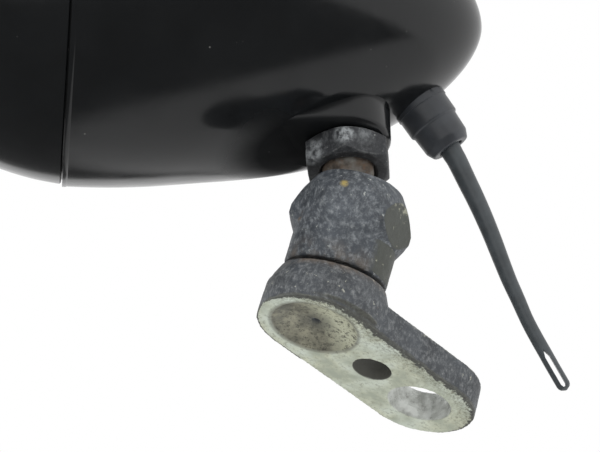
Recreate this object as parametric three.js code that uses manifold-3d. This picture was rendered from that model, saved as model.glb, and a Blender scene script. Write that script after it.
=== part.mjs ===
// Bullet-shaped driving lamp on a ball-jointed cast bracket.
// Millimetres, +Z up. The origin is on the bracket's mounting face, midway between its two bolt holes.
// The lamp looks along -Y and, as stored, dips its nose by LAMP_DIP.

import * as THREE from "three";
import { mergeVertices } from "three/addons/utils/BufferGeometryUtils.js";
import Module from "manifold-3d";

const wasm = await Module();
wasm.setup();

// ---------------------------------------------------------------- driving dimensions
const GAP = 0.3; // clearance between pieces that touch
const LAMP_ROUND = 36; // facets round the lamp
const ROUND = 28; // facets round the bracket's bosses and bores
const SMALL_ROUND = 16; // facets round a small circle

const ARM_THICKNESS = 10;
const ARM_END_RADIUS = 17.5;
const ARM_TURN = 36; // degrees that the arm swings from the lamp's rear towards -X
const ARM_SOCKET_END_AT = -33.8; // centre of the socket end, along the arm from the origin
const ARM_SMALL_HOLE_AT = -8.7;
const ARM_LARGE_HOLE_AT = 12.6;
const ARM_LARGE_HOLE_RADIUS = 9.9;
const ARM_SMALL_HOLE_RADIUS = 6;
const DISH_RADIUS = 13.6;
const DISH_DEPTH = 2.4;
const DISH_PIT_RADIUS = 1.6;

// The socket stands on a leaning axis; its heights are measured along that axis, from its foot.
const SOCKET_FOOT = [18.4, -25.6, 0];
const SOCKET_LEAN = 11; // degrees towards +X
const BOSS_TOP = 16.9;
const BOSS_TOP_RADIUS = 16.2;
const BOSS_BASE_RADIUS = 19.4;
const NECK_RADIUS = 12.8; // threaded neck that takes the cap nut
const NECK_TOP = 31.8;
const NECK_BORE_RADIUS = 11.3;
const NECK_FLOOR = 17.3; // bottom of the neck's bore

const BALL_HEIGHT = 35.6;
const BALL_RADIUS = 11.2;
const SPRING_HEIGHT = 2.4;
const SPRING_THICKNESS = 1;
const SPRING_HOLE_RADIUS = 4.5;

const CAP_BOTTOM = 18.1;
const CAP_SKIRT_TOP = 28.9; // the skirt flares from here out to the hexagon
const CAP_HEX_BOTTOM = 32.7;
const CAP_HEX_TOP = 40.9; // the corners are domed above this
const CAP_TOP = 48.2;
const CAP_SKIRT_RADIUS = 16;
const CAP_HEX_ACROSS_FLATS = 33;
const CAP_HEX_CORNER_RADIUS = 18.3; // the corners are turned down to this
const CAP_HEX_TURN = 20; // degrees from +X to a corner
const CAP_TOP_RADIUS = 14;
const CAP_MOUTH_RADIUS = 13;
const CAP_LIP_RADIUS = 9.9; // smallest opening, which keeps the ball in

const STUD_RADIUS = 8;
const STUD_NECK_RADIUS = 5.6;
const STUD_NECK_TOP = 15.6; // the neck flares from here to the shoulder
const STUD_SHOULDER = 18.2; // ball centre to the full stud radius
const STUD_END = 45; // ball centre to the stud's upper end
const STUD_BLOCK_RADIUS = 10.2;
const STUD_PROJECTION = 3; // stud beyond the block

const JAM_NUT_BOTTOM = 18.9; // ball centre to the jam nut's lower face
const JAM_NUT_THICKNESS = 9.4;
const JAM_NUT_ACROSS_FLATS = 27;
const JAM_NUT_TURN = -5; // degrees from +X to a corner
const JAM_NUT_CHAMFER = 1.6;

const LAMP_DIP = 15.2; // degrees that the lamp's nose points below the mounting plane
const LAMP_AXIS_HEIGHT = 77.6; // ball centre to the lamp's axis, along the stud
const STUD_STATION = 87.7; // bucket mouth to the stud's axis, along the lamp's axis

const BUCKET_RADIUS = 58.8; // outer radius at the mouth
const BUCKET_LENGTH = 133;
const BUCKET_WALL = 1.5;
const BUCKET_FULLNESS = 1.72; // exponent of the bullet's curve
const MOUTH_BEAD = 0.4;

const PEDESTAL_HALF_WIDTH = 15;
const PEDESTAL_CENTRE = -1.3; // middle of its round rear end, where the nose begins
const PEDESTAL_NOSE = 31; // length of the half ellipse that is its nose
const PEDESTAL_DRAFT = 0.0157; // narrowing per millimetre of height
const PEDESTAL_TOP = 46;
const PEDESTAL_SEAT = JAM_NUT_BOTTOM + JAM_NUT_THICKNESS + GAP;
const PEDESTAL_BEVEL_HEIGHT = 2.6; // bevel round the seat
const PEDESTAL_BEVEL_WIDTH = 1.6;
const PEDESTAL_WALL = 1.6;

const RIM_LENGTH = 30.5;
const RIM_REAR_RADIUS = 58.1;
const RIM_TAPER = 0.07;
const RIM_CROWN = 0.006;
const RIM_WALL = 1.3;
const RIM_OPENING_RADIUS = 46.5;
const SPIGOT_LENGTH = 9;
const SPIGOT_WALL = 1.3;
const SPIGOT_RADIUS = BUCKET_RADIUS - BUCKET_WALL - 0.55; // a little slack for the bucket's curve

const LENS_RADIUS = 49.4;
const LENS_BULGE = 8;
const LENS_THICKNESS = 3;
const GASKET_THICKNESS = 1.5;
const REFLECTOR_FOCAL_LENGTH = 18;
const REFLECTOR_BOWL_RADIUS = 46;
const REFLECTOR_WALL = 1;
const REFLECTOR_HOLE_RADIUS = 11.8;

const HOLDER_RADIUS = 11;
const HOLDER_BORE_RADIUS = 7.9;
const HOLDER_LENGTH = 27;
const HOLDER_FLANGE_RADIUS = 15.5;
const BULB_CAP_RADIUS = 7.5;
const BULB_CAP_LENGTH = 15;
const BULB_GLASS_RADIUS = 11.5;
const BULB_SEAT = 16.5; // holder's mouth to the end of the bulb's cap
const BULB_WALL = 0.8;
const CONTACT_PIN_RADIUS = 1.1;
const CONTACT_PIN_OFFSET = 3.4; // each side of the lamp's axis
const CONTACT_DISC_THICKNESS = 3;

const RIM_SCREW_STATION = 4.5; // bucket mouth to the rim screw's axis
const RIM_SCREW_RADIUS = 2;
const RIM_SCREW_HEAD_RADIUS = 4.2;
const RIM_NUT_WIDTH = 7.5;
const RIM_NUT_THICKNESS = 3;
const CLIP_COUNT = 4;

const BOOT_STATION = 113; // bucket mouth to the boot, along the lamp's axis
const BOOT_SIDE_TURN = 13; // degrees round the lamp's axis from straight down, towards -X
const BOOT_TILT = 35; // degrees that the boot leans rearwards from the stud's direction
const BOOT_BASE_RADIUS = 8.6;
const BOOT_TIP_RADIUS = 7.4;
const BOOT_LENGTH = 17;
const BOOT_BORE_RADIUS = 2.9;
const BOOT_PLUG_RADIUS = 5.2; // inner stub through the bucket's cable hole

const SLEEVE_RADIUS = 2.6; // mean radius of the tapered sleeve

const LEAD_RADIUS = 1.6; // cable inside the bucket
const CONNECTOR_RADIUS = 3.2;
const CONNECTOR_LENGTH = 18;
const CONNECTOR_STATION = 52; // bucket mouth to the connector's front end
const CONNECTOR_SIDE_TURN = 42; // degrees round the lamp's axis from straight down, towards -X
const CONNECTOR_AXIS_RADIUS = 43;

// The sleeve's middle line, from the boot's mouth to its open end.
const SLEEVE_ROUTE = [
  [15.8, -2.1, 79.9],
  [15.2, -0.3, 78.1],
  [14.6, 1.6, 76.3],
  [12.7, 6.3, 71.2],
  [11.0, 10.7, 66.4],
  [9.1, 15.2, 61.2],
  [7.1, 19.4, 56.1],
  [5.1, 23.4, 51.0],
  [3.2, 27.5, 45.8],
  [1.3, 31.9, 40.8],
  [-0.6, 36.2, 35.8],
  [-2.1, 40.3, 31.6],
  [-3.4, 44.3, 27.7],
  [-4.7, 48.3, 23.8],
  [-6.4, 53.7, 18.7],
];

// ---------------------------------------------------------------- small tools
const radians = THREE.MathUtils.degToRad;

function closedMesh(geometry) {
  const plain = geometry.index ? geometry.toNonIndexed() : geometry.clone();
  const bare = new THREE.BufferGeometry();
  bare.setAttribute("position", plain.getAttribute("position"));
  const merged = mergeVertices(bare, 1e-4);
  const kept = [];
  const index = merged.index.array;
  for (let i = 0; i < index.length; i += 3) {
    const [a, b, c] = [index[i], index[i + 1], index[i + 2]];
    if (a !== b && b !== c && c !== a) kept.push(a, b, c);
  }
  merged.setIndex(kept);
  return merged;
}

// A geometry as a solid, with its faces turned outwards.
function solid(geometry) {
  const mesh = closedMesh(geometry);
  const make = (triVerts) =>
    new wasm.Manifold(
      new wasm.Mesh({
        numProp: 3,
        vertProperties: new Float32Array(mesh.attributes.position.array),
        triVerts: new Uint32Array(triVerts),
      }),
    );
  const triangles = [...mesh.index.array];
  const made = make(triangles);
  if (made.volume() > 0) return made;
  return make(triangles.reverse());
}

function geometryOf(body) {
  const mesh = body.getMesh();
  const geometry = new THREE.BufferGeometry();
  geometry.setAttribute("position", new THREE.BufferAttribute(new Float32Array(mesh.vertProperties), 3));
  geometry.setIndex([...mesh.triVerts]);
  return geometry;
}

// A body of revolution about Y: each point is [radius, place along the axis].
function turned(points, facets = ROUND) {
  const profile = points.map(([r, y]) => new THREE.Vector2(r, y));
  profile.push(profile[0].clone());
  return solid(new THREE.LatheGeometry(profile, facets));
}

// The same about Z.
function turnedUpright(points, facets = ROUND) {
  return turned(points, facets).rotate([90, 0, 0]);
}

function cylinderUpright(radius, bottom, top, facets = ROUND) {
  return turnedUpright([[0, bottom], [radius, bottom], [radius, top], [0, top]], facets);
}

function box(width, depth, height) {
  return solid(new THREE.BoxGeometry(width, depth, height));
}

// A flat outline in X and Y, raised from bottom to top.
function raised(shape, bottom, top, curveSegments = SMALL_ROUND) {
  const geometry = new THREE.ExtrudeGeometry(shape, { depth: top - bottom, bevelEnabled: false, curveSegments });
  return solid(geometry).translate([0, 0, bottom]);
}

function hexagon(acrossFlats, turn = 0) {
  const corner = acrossFlats / Math.sqrt(3);
  const shape = new THREE.Shape();
  for (let i = 0; i < 6; i++) {
    const angle = radians(60 * i + turn);
    const [x, y] = [corner * Math.cos(angle), corner * Math.sin(angle)];
    if (i) shape.lineTo(x, y);
    else shape.moveTo(x, y);
  }
  shape.closePath();
  return shape;
}

// A round section swept along points.
function swept(points, radius, sides, stepsPerPoint = 1) {
  const path = new THREE.CatmullRomCurve3(points.map((p) => new THREE.Vector3(...p)));
  const section = new THREE.Shape();
  for (let i = 0; i < sides; i++) {
    const angle = (2 * Math.PI * i) / sides;
    const [x, y] = [radius * Math.cos(angle), radius * Math.sin(angle)];
    if (i) section.lineTo(x, y);
    else section.moveTo(x, y);
  }
  section.closePath();
  const steps = (points.length - 1) * stepsPerPoint;
  return solid(new THREE.ExtrudeGeometry(section, { steps, extrudePath: path, bevelEnabled: false }));
}

const finishes = {
  gloss_black: { color: 0x08090a, roughness: 0.08, metalness: 0 },
  worn_black: { color: 0x2a2b2d, roughness: 0.6, metalness: 0.2 },
  bare_casting: { color: 0x8f9184, roughness: 0.65, metalness: 0.3 },
  rusty_steel: { color: 0x6b5240, roughness: 0.7, metalness: 0.5 },
  zinc_steel: { color: 0xb0b0aa, roughness: 0.4, metalness: 0.9 },
  black_rubber: { color: 0x17191b, roughness: 0.6, metalness: 0 },
  silvered: { color: 0xd8d8d8, roughness: 0.05, metalness: 1 },
  clear_glass: { color: 0xe6eeee, roughness: 0.02, metalness: 0 },
  brass: { color: 0xb08d4a, roughness: 0.35, metalness: 0.9 },
  fibre: { color: 0x6e2f1e, roughness: 0.7, metalness: 0 },
  bakelite: { color: 0x2b1710, roughness: 0.4, metalness: 0 },
};

function piece(parent, name, body, finish) {
  const mesh = new THREE.Mesh(geometryOf(body), new THREE.MeshStandardMaterial(finishes[finish]));
  mesh.name = name;
  parent.add(mesh);
  return mesh;
}

// ---------------------------------------------------------------- bracket, in the part's own frame
function alongArm(distance) {
  return [-Math.sin(radians(ARM_TURN)) * distance, Math.cos(radians(ARM_TURN)) * distance];
}

function armOutline() {
  const far = alongArm(ARM_LARGE_HOLE_AT);
  const near = alongArm(ARM_SOCKET_END_AT);
  const side = radians(ARM_TURN);
  const shape = new THREE.Shape();
  shape.absarc(far[0], far[1], ARM_END_RADIUS, side, side + Math.PI, false);
  shape.absarc(near[0], near[1], ARM_END_RADIUS, side + Math.PI, side + 2 * Math.PI, false);
  shape.closePath();
  return shape;
}

function bracketArm() {
  const socket = turnedUpright([
    [0, -8],
    [BOSS_BASE_RADIUS, -8],
    [BOSS_BASE_RADIUS, BOSS_TOP * 0.36],
    [BOSS_BASE_RADIUS - 0.4, BOSS_TOP * 0.56],
    [BOSS_BASE_RADIUS - 1.1, BOSS_TOP * 0.74],
    [BOSS_TOP_RADIUS + 0.7, BOSS_TOP - 1.4],
    [BOSS_TOP_RADIUS, BOSS_TOP],
    [NECK_RADIUS - 0.8, BOSS_TOP],
    [NECK_RADIUS - 0.8, CAP_BOTTOM],
    [NECK_RADIUS, CAP_BOTTOM + 1],
    [NECK_RADIUS, NECK_TOP],
    [0, NECK_TOP],
  ]);
  const bore = cylinderUpright(NECK_BORE_RADIUS, NECK_FLOOR, NECK_TOP + 1);
  const inSocket = (body) => body.rotate([0, SOCKET_LEAN, 0]).translate(SOCKET_FOOT);
  const overArm = raised(armOutline(), 0, 2 * ARM_THICKNESS);
  const aboveEdge = cylinderUpright(2 * BOSS_BASE_RADIUS, ARM_THICKNESS * 0.4, 2 * NECK_TOP, 8).translate(SOCKET_FOOT);
  const dish = turnedUpright([
    [0, -1],
    [DISH_RADIUS, -1],
    [DISH_RADIUS, 0],
    [DISH_RADIUS * 0.8, DISH_DEPTH * 0.65],
    [DISH_RADIUS * 0.45, DISH_DEPTH],
    [DISH_PIT_RADIUS, DISH_DEPTH],
    [DISH_PIT_RADIUS * 0.6, DISH_DEPTH + 1.5],
    [0, DISH_DEPTH + 1.5],
  ]);
  const at = (body, distance) => body.translate([...alongArm(distance), 0]);
  const smallHole = cylinderUpright(ARM_SMALL_HOLE_RADIUS, -1, ARM_THICKNESS + 1, SMALL_ROUND);
  const largeHole = cylinderUpright(ARM_LARGE_HOLE_RADIUS, -1, ARM_THICKNESS + 1);
  return raised(armOutline(), 0, ARM_THICKNESS)
    .add(inSocket(socket).intersect(overArm.add(aboveEdge)))
    .subtract(inSocket(bore))
    .subtract(at(dish, ARM_SOCKET_END_AT))
    .subtract(at(smallHole, ARM_SMALL_HOLE_AT))
    .subtract(at(largeHole, ARM_LARGE_HOLE_AT));
}

// ---------------------------------------------------------------- ball socket, in the socket's frame
// Disc spring that presses the seat against the ball.
function springWasher() {
  const outer = NECK_BORE_RADIUS - GAP;
  const bottom = NECK_FLOOR + GAP;
  return turnedUpright([
    [outer, bottom],
    [outer, bottom + SPRING_THICKNESS],
    [SPRING_HOLE_RADIUS, bottom + SPRING_HEIGHT],
    [SPRING_HOLE_RADIUS, bottom + SPRING_HEIGHT - SPRING_THICKNESS],
  ]);
}

// Height of a sphere's lower or upper side at a radius, about the ball's centre.
function sphereDrop(sphereRadius, radius) {
  return Math.sqrt(sphereRadius * sphereRadius - radius * radius);
}

function lowerSeat() {
  const cup = BALL_RADIUS + GAP;
  const outer = NECK_BORE_RADIUS - GAP;
  const bottom = NECK_FLOOR + SPRING_HEIGHT + 2 * GAP;
  const cupRadius = outer - 0.9;
  const points = [[0, bottom], [outer, bottom], [outer, BALL_HEIGHT - sphereDrop(cup, cupRadius)]];
  for (let i = 0; i <= 5; i++) {
    const radius = cupRadius * (1 - i / 5);
    points.push([radius, BALL_HEIGHT - sphereDrop(cup, radius)]);
  }
  return turnedUpright(points);
}

function capNut() {
  const sphere = BALL_RADIUS + GAP;
  const hex = raised(hexagon(CAP_HEX_ACROSS_FLATS, CAP_HEX_TURN), CAP_SKIRT_TOP, CAP_TOP + 1);
  const chamfered = turnedUpright([
    [0, CAP_SKIRT_TOP],
    [CAP_SKIRT_RADIUS, CAP_SKIRT_TOP],
    [CAP_HEX_CORNER_RADIUS, CAP_HEX_BOTTOM],
    [CAP_HEX_CORNER_RADIUS, CAP_HEX_TOP],
    [CAP_HEX_CORNER_RADIUS - 0.9, CAP_HEX_TOP + 3],
    [CAP_TOP_RADIUS + 1.3, CAP_TOP - 1.6],
    [CAP_TOP_RADIUS, CAP_TOP],
    [0, CAP_TOP],
  ]);
  const skirt = cylinderUpright(CAP_SKIRT_RADIUS, CAP_BOTTOM, CAP_SKIRT_TOP + 1);
  const inside = [
    [0, CAP_BOTTOM - 1],
    [NECK_RADIUS + GAP, CAP_BOTTOM - 1],
    [NECK_RADIUS + GAP, NECK_TOP + GAP],
    [sphere, NECK_TOP + GAP + 1.5],
    [sphere, BALL_HEIGHT],
  ];
  for (let i = 1; i <= 4; i++) {
    const radius = sphere - (sphere - CAP_LIP_RADIUS) * (i / 4) ** 2;
    inside.push([radius, BALL_HEIGHT + sphereDrop(sphere + 0.001, radius)]);
  }
  inside.push([CAP_MOUTH_RADIUS, CAP_TOP], [CAP_MOUTH_RADIUS, CAP_TOP + 1], [0, CAP_TOP + 1]);
  return hex.intersect(chamfered).add(skirt).subtract(turnedUpright(inside));
}

// ---------------------------------------------------------------- ball stud and jam nut, in the stud's frame
// Here the ball's centre is the origin and the stud points along +Z.
function ballStud() {
  const points = [[0, -BALL_RADIUS]];
  const neckHeight = sphereDrop(BALL_RADIUS, STUD_NECK_RADIUS);
  const end = Math.atan2(neckHeight, STUD_NECK_RADIUS);
  const steps = 9;
  for (let i = 1; i <= steps; i++) {
    const angle = -Math.PI / 2 + ((Math.PI / 2 + end) * i) / steps;
    points.push([BALL_RADIUS * Math.cos(angle), BALL_RADIUS * Math.sin(angle)]);
  }
  points.push(
    [STUD_NECK_RADIUS + 0.5, STUD_NECK_TOP],
    [STUD_RADIUS, STUD_SHOULDER],
    [STUD_RADIUS, STUD_END - 1.2],
    [STUD_RADIUS - 1.2, STUD_END],
    [0, STUD_END],
  );
  return turnedUpright(points);
}

function jamNut() {
  const top = JAM_NUT_BOTTOM + JAM_NUT_THICKNESS;
  const corner = JAM_NUT_ACROSS_FLATS / Math.sqrt(3);
  const flat = JAM_NUT_ACROSS_FLATS / 2;
  const rounded = turnedUpright([
    [0, JAM_NUT_BOTTOM],
    [flat - 0.3, JAM_NUT_BOTTOM],
    [corner + 0.1, JAM_NUT_BOTTOM + JAM_NUT_CHAMFER],
    [corner + 0.1, top - JAM_NUT_CHAMFER],
    [flat - 0.3, top],
    [0, top],
  ]);
  const hole = cylinderUpright(STUD_RADIUS + GAP, JAM_NUT_BOTTOM - 1, top + 1);
  return raised(hexagon(JAM_NUT_ACROSS_FLATS, JAM_NUT_TURN), JAM_NUT_BOTTOM, top).intersect(rounded).subtract(hole);
}

// ---------------------------------------------------------------- bucket, in the stud's frame
// The bullet's radius at a distance behind the mouth.
function bulletRadius(station, radius = BUCKET_RADIUS, length = BUCKET_LENGTH) {
  const share = Math.min(1, Math.max(0, station / length));
  return radius * (1 - share * share) ** (1 / BUCKET_FULLNESS);
}

// A body made about the lamp's own axis, with its stations along +Y, put in the stud's frame.
function onLampAxis(body) {
  return body.translate([0, -STUD_STATION, LAMP_AXIS_HEIGHT]);
}

function bulletBody(radius, length, front) {
  const points = [[0, front], [radius, front]];
  const steps = 14;
  for (let i = 0; i <= steps; i++) {
    const station = length * Math.sin((Math.PI / 2) * (i / steps));
    points.push([i === steps ? 0 : bulletRadius(station, radius, length), station]);
  }
  return turned(points, LAMP_ROUND);
}

// The streamlined foot under the bucket, which the jam nut seats against.
function pedestal(inset, bottom) {
  const half = PEDESTAL_HALF_WIDTH - inset;
  const shape = new THREE.Shape();
  shape.absarc(0, PEDESTAL_CENTRE, half, 0, Math.PI, false);
  shape.absellipse(0, PEDESTAL_CENTRE, half, PEDESTAL_NOSE - inset, Math.PI, 2 * Math.PI, false, 0);
  shape.closePath();
  const rear = PEDESTAL_CENTRE + half;
  const front = PEDESTAL_CENTRE - PEDESTAL_NOSE + inset;
  const [middle, halfLength] = [(rear + front) / 2, (rear - front) / 2];
  const bevelTop = bottom + PEDESTAL_BEVEL_HEIGHT;
  const levels = [
    { height: bottom, width: 1 - PEDESTAL_BEVEL_WIDTH / half, length: 1 - PEDESTAL_BEVEL_WIDTH / halfLength },
    { height: bevelTop, width: 1, length: 1 },
    { height: PEDESTAL_TOP, width: 1 - PEDESTAL_DRAFT * (PEDESTAL_TOP - bevelTop), length: 1 },
  ];
  const geometry = new THREE.ExtrudeGeometry(shape, { depth: 2, steps: 2, bevelEnabled: false, curveSegments: 14 });
  return solid(geometry).warp((v) => {
    const level = levels[Math.round(v[2])];
    v[0] *= level.width;
    v[1] = middle + (v[1] - middle) * level.length;
    v[2] = level.height;
  });
}

function bootPlacement(body) {
  return body
    .rotate([BOOT_TILT - 180, 0, 0])
    .rotate([0, BOOT_SIDE_TURN, 0])
    .translate(bootSeat());
}

// The middle of the boot's seat on the bucket's skin, in the stud's frame.
function bootSeat() {
  const radius = bulletRadius(BOOT_STATION);
  const turn = radians(BOOT_SIDE_TURN);
  return [
    -Math.sin(turn) * radius,
    BOOT_STATION - STUD_STATION,
    LAMP_AXIS_HEIGHT - Math.cos(turn) * radius,
  ];
}

function bucketShell() {
  const beadRadius = BUCKET_RADIUS + MOUTH_BEAD;
  const bead = turned([[0, 0], [beadRadius, 0], [beadRadius, 1], [BUCKET_RADIUS - 0.5, 2], [0, 2]], LAMP_ROUND);
  const outside = onLampAxis(bulletBody(BUCKET_RADIUS, BUCKET_LENGTH, 0).add(bead));
  const inside = onLampAxis(bulletBody(BUCKET_RADIUS - BUCKET_WALL, BUCKET_LENGTH - 2, -1));
  const studHole = cylinderUpright(STUD_RADIUS + GAP, PEDESTAL_SEAT - 1, PEDESTAL_SEAT + 4);
  const foot = pedestal(0, PEDESTAL_SEAT).subtract(inside);
  const footHollow = pedestal(PEDESTAL_WALL, PEDESTAL_SEAT + PEDESTAL_WALL);
  const cableHole = bootPlacement(cylinderUpright(BOOT_PLUG_RADIUS + GAP, -14, 12, SMALL_ROUND));
  const slotWidth = 2 * (RIM_SCREW_RADIUS + GAP);
  const slot = box(slotWidth, RIM_SCREW_STATION + 1, 10)
    .translate([0, (RIM_SCREW_STATION - 1) / 2, BUCKET_RADIUS])
    .add(cylinderUpright(slotWidth / 2, BUCKET_RADIUS - 5, BUCKET_RADIUS + 5, 16).translate([0, RIM_SCREW_STATION, 0]));
  return outside
    .add(foot)
    .subtract(inside)
    .subtract(footHollow)
    .subtract(studHole)
    .subtract(cableHole)
    .subtract(onLampAxis(slot));
}

// Threaded block welded inside the foot.
function studBlock() {
  const bottom = PEDESTAL_SEAT + PEDESTAL_WALL + GAP;
  const top = STUD_END - STUD_PROJECTION;
  return cylinderUpright(STUD_BLOCK_RADIUS, bottom, top).subtract(cylinderUpright(STUD_RADIUS + GAP, bottom - 1, top + 1));
}

// ---------------------------------------------------------------- rim, lens and reflector, on the lamp's axis
// Stations here are minus the distance ahead of the bucket's mouth.
function rimRadius(ahead) {
  return RIM_REAR_RADIUS - RIM_TAPER * ahead - RIM_CROWN * ahead * ahead;
}

const lipFace = -(RIM_LENGTH - RIM_WALL);

function rim() {
  const points = [];
  const steps = 5;
  const crownEnd = RIM_LENGTH - 2.5;
  for (let i = 0; i <= steps; i++) {
    const ahead = GAP + ((crownEnd - GAP) * i) / steps;
    points.push([rimRadius(ahead), -ahead]);
  }
  const noseRadius = rimRadius(crownEnd);
  points.push(
    [noseRadius - 0.9, -RIM_LENGTH + 1],
    [noseRadius - 2.6, -RIM_LENGTH],
    [RIM_OPENING_RADIUS + 0.6, -RIM_LENGTH],
    [RIM_OPENING_RADIUS, -RIM_LENGTH + 0.6],
    [RIM_OPENING_RADIUS, lipFace],
    [LENS_RADIUS + GAP, lipFace],
  );
  for (let i = steps; i >= 1; i--) {
    const ahead = GAP + ((crownEnd - GAP) * i) / steps;
    const inner = Math.max(LENS_RADIUS + GAP, rimRadius(ahead) - RIM_WALL);
    points.push([Math.min(inner, SPIGOT_RADIUS - SPIGOT_WALL), -ahead]);
  }
  points.push([SPIGOT_RADIUS - SPIGOT_WALL, SPIGOT_LENGTH], [SPIGOT_RADIUS, SPIGOT_LENGTH], [SPIGOT_RADIUS, -GAP]);
  const hole = cylinderUpright(RIM_SCREW_RADIUS + GAP, BUCKET_RADIUS - 8, BUCKET_RADIUS + 3, 16);
  return turned(points, LAMP_ROUND).subtract(hole.translate([0, RIM_SCREW_STATION, 0]));
}

const gasketFront = lipFace + GAP;
const lensFront = gasketFront + GASKET_THICKNESS + GAP;
const reflectorFront = lensFront + LENS_THICKNESS + GAP;

function lensGasket() {
  const back = gasketFront + GASKET_THICKNESS;
  const inner = RIM_OPENING_RADIUS + 0.5;
  return turned([[inner, gasketFront], [LENS_RADIUS, gasketFront], [LENS_RADIUS, back], [inner, back]], LAMP_ROUND);
}

function lens() {
  const flatFrom = RIM_OPENING_RADIUS - 0.6;
  const points = [[LENS_RADIUS, lensFront + LENS_THICKNESS], [LENS_RADIUS, lensFront]];
  const steps = 4;
  const bulge = (radius) => LENS_BULGE * (1 - (radius / flatFrom) ** 2);
  for (let i = 0; i <= steps; i++) {
    const radius = flatFrom * (1 - i / steps);
    points.push([radius, lensFront - bulge(radius)]);
  }
  for (let i = steps; i >= 0; i--) {
    const radius = flatFrom * (1 - i / steps);
    points.push([radius, lensFront + LENS_THICKNESS - bulge(radius)]);
  }
  return turned(points, LAMP_ROUND);
}

// The bowl's depth at a radius.
function bowlDepth(radius) {
  return (radius * radius) / (4 * REFLECTOR_FOCAL_LENGTH);
}

const bowlVertex = reflectorFront + bowlDepth(REFLECTOR_BOWL_RADIUS);

function reflector() {
  const points = [];
  const steps = 5;
  const radiusAt = (i) => REFLECTOR_BOWL_RADIUS + ((REFLECTOR_HOLE_RADIUS - REFLECTOR_BOWL_RADIUS) * i) / steps;
  for (let i = 0; i <= steps; i++) {
    points.push([radiusAt(i), bowlVertex - bowlDepth(radiusAt(i))]);
  }
  for (let i = steps; i >= 0; i--) {
    const radius = radiusAt(i) + (i === steps ? 0 : 0.8);
    points.push([radius, bowlVertex - bowlDepth(radiusAt(i)) + REFLECTOR_WALL]);
  }
  const flangeRadius = LENS_RADIUS - 0.2;
  points.push([flangeRadius, reflectorFront + REFLECTOR_WALL], [flangeRadius, reflectorFront]);
  return turned(points, LAMP_ROUND);
}

// Spring clip that holds the lens and the reflector against the rim's lip.
function rimClip(angle) {
  const back = reflectorFront + REFLECTOR_WALL + GAP;
  const outer = rimRadius(-back - 4) - RIM_WALL - 0.6;
  const shape = new THREE.Shape();
  shape.moveTo(REFLECTOR_BOWL_RADIUS + 1.6, back);
  shape.lineTo(LENS_RADIUS - 0.6, back);
  shape.lineTo(outer, back + 5);
  shape.lineTo(outer, back + 8);
  shape.lineTo(outer - 1, back + 8);
  shape.lineTo(outer - 1.2, back + 5.4);
  shape.lineTo(LENS_RADIUS - 1.2, back + 1);
  shape.lineTo(REFLECTOR_BOWL_RADIUS + 1.6, back + 1);
  shape.closePath();
  return raised(shape, -4, 4).rotate([0, angle, 0]);
}

// ---------------------------------------------------------------- bulb and its holder, on the lamp's axis
const holderFront = bowlVertex - bowlDepth(REFLECTOR_HOLE_RADIUS) - 1.5;
const holderFlangeFront = bowlVertex + REFLECTOR_WALL + GAP;
const holderBack = holderFront + HOLDER_LENGTH;

function bulbHolder() {
  return turned([
    [HOLDER_BORE_RADIUS, holderFront],
    [HOLDER_RADIUS, holderFront],
    [HOLDER_RADIUS, holderFlangeFront],
    [HOLDER_FLANGE_RADIUS, holderFlangeFront],
    [HOLDER_FLANGE_RADIUS, holderFlangeFront + 1.2],
    [HOLDER_RADIUS, holderFlangeFront + 1.2],
    [HOLDER_RADIUS, holderBack],
    [HOLDER_BORE_RADIUS - 1.5, holderBack],
    [HOLDER_BORE_RADIUS - 1.5, holderBack - 1.2],
    [HOLDER_BORE_RADIUS, holderBack - 1.2],
  ]);
}

const discFront = holderFront + BULB_SEAT + 1.6;

function contactDisc() {
  const radius = HOLDER_BORE_RADIUS - GAP;
  const back = discFront + CONTACT_DISC_THICKNESS;
  const disc = turned([[0, discFront], [radius, discFront], [radius, back], [0, back]], 32);
  const holes = contactOffsets.map((x) => contactRod(x, CONTACT_PIN_RADIUS + GAP));
  return holes.reduce((body, hole) => body.subtract(hole), disc);
}

const contactOffsets = [-CONTACT_PIN_OFFSET, CONTACT_PIN_OFFSET];

function contactRod(x, radius) {
  const [front, back] = [discFront - 1.2, holderBack + 3];
  return turned([[0, front], [radius, front], [radius, back], [0, back]], SMALL_ROUND).translate([x, 0, 0]);
}

// Coil spring between the contact disc and the holder's rear lip.
function contactSpring() {
  const turns = 2.5;
  const wire = 0.4;
  const start = discFront + CONTACT_DISC_THICKNESS + GAP + wire;
  const end = holderBack - 1.2 - GAP - wire;
  const points = [];
  const steps = Math.round(turns * 10);
  const radius = HOLDER_BORE_RADIUS - 1;
  for (let i = 0; i <= steps; i++) {
    const angle = (2 * Math.PI * turns * i) / steps;
    points.push([radius * Math.cos(angle), start + ((end - start) * i) / steps, radius * Math.sin(angle)]);
  }
  return swept(points, wire, 5);
}

function bulbCap() {
  const end = holderFront + BULB_SEAT;
  const front = end - BULB_CAP_LENGTH;
  const reach = BULB_CAP_RADIUS + 0.3;
  const pins = turned([[0, -reach], [1, -reach], [1, reach], [0, reach]], 8)
    .rotate([0, 0, 90])
    .translate([0, end - 3.8, 0]);
  const shell = turned([
    [BULB_CAP_RADIUS - 0.6, front],
    [BULB_CAP_RADIUS, front],
    [BULB_CAP_RADIUS, end - 1],
    [BULB_CAP_RADIUS - 1, end],
    [0, end],
    [0, end - 5],
    [BULB_CAP_RADIUS - 0.6, end - 5],
  ]);
  const inner = BULB_CAP_RADIUS - 0.6;
  const core = turned([[0, end - 5.5], [inner, end - 5.5], [inner, end - 2], [0, end - 2]], 32);
  return shell.add(pins).add(core);
}

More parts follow.
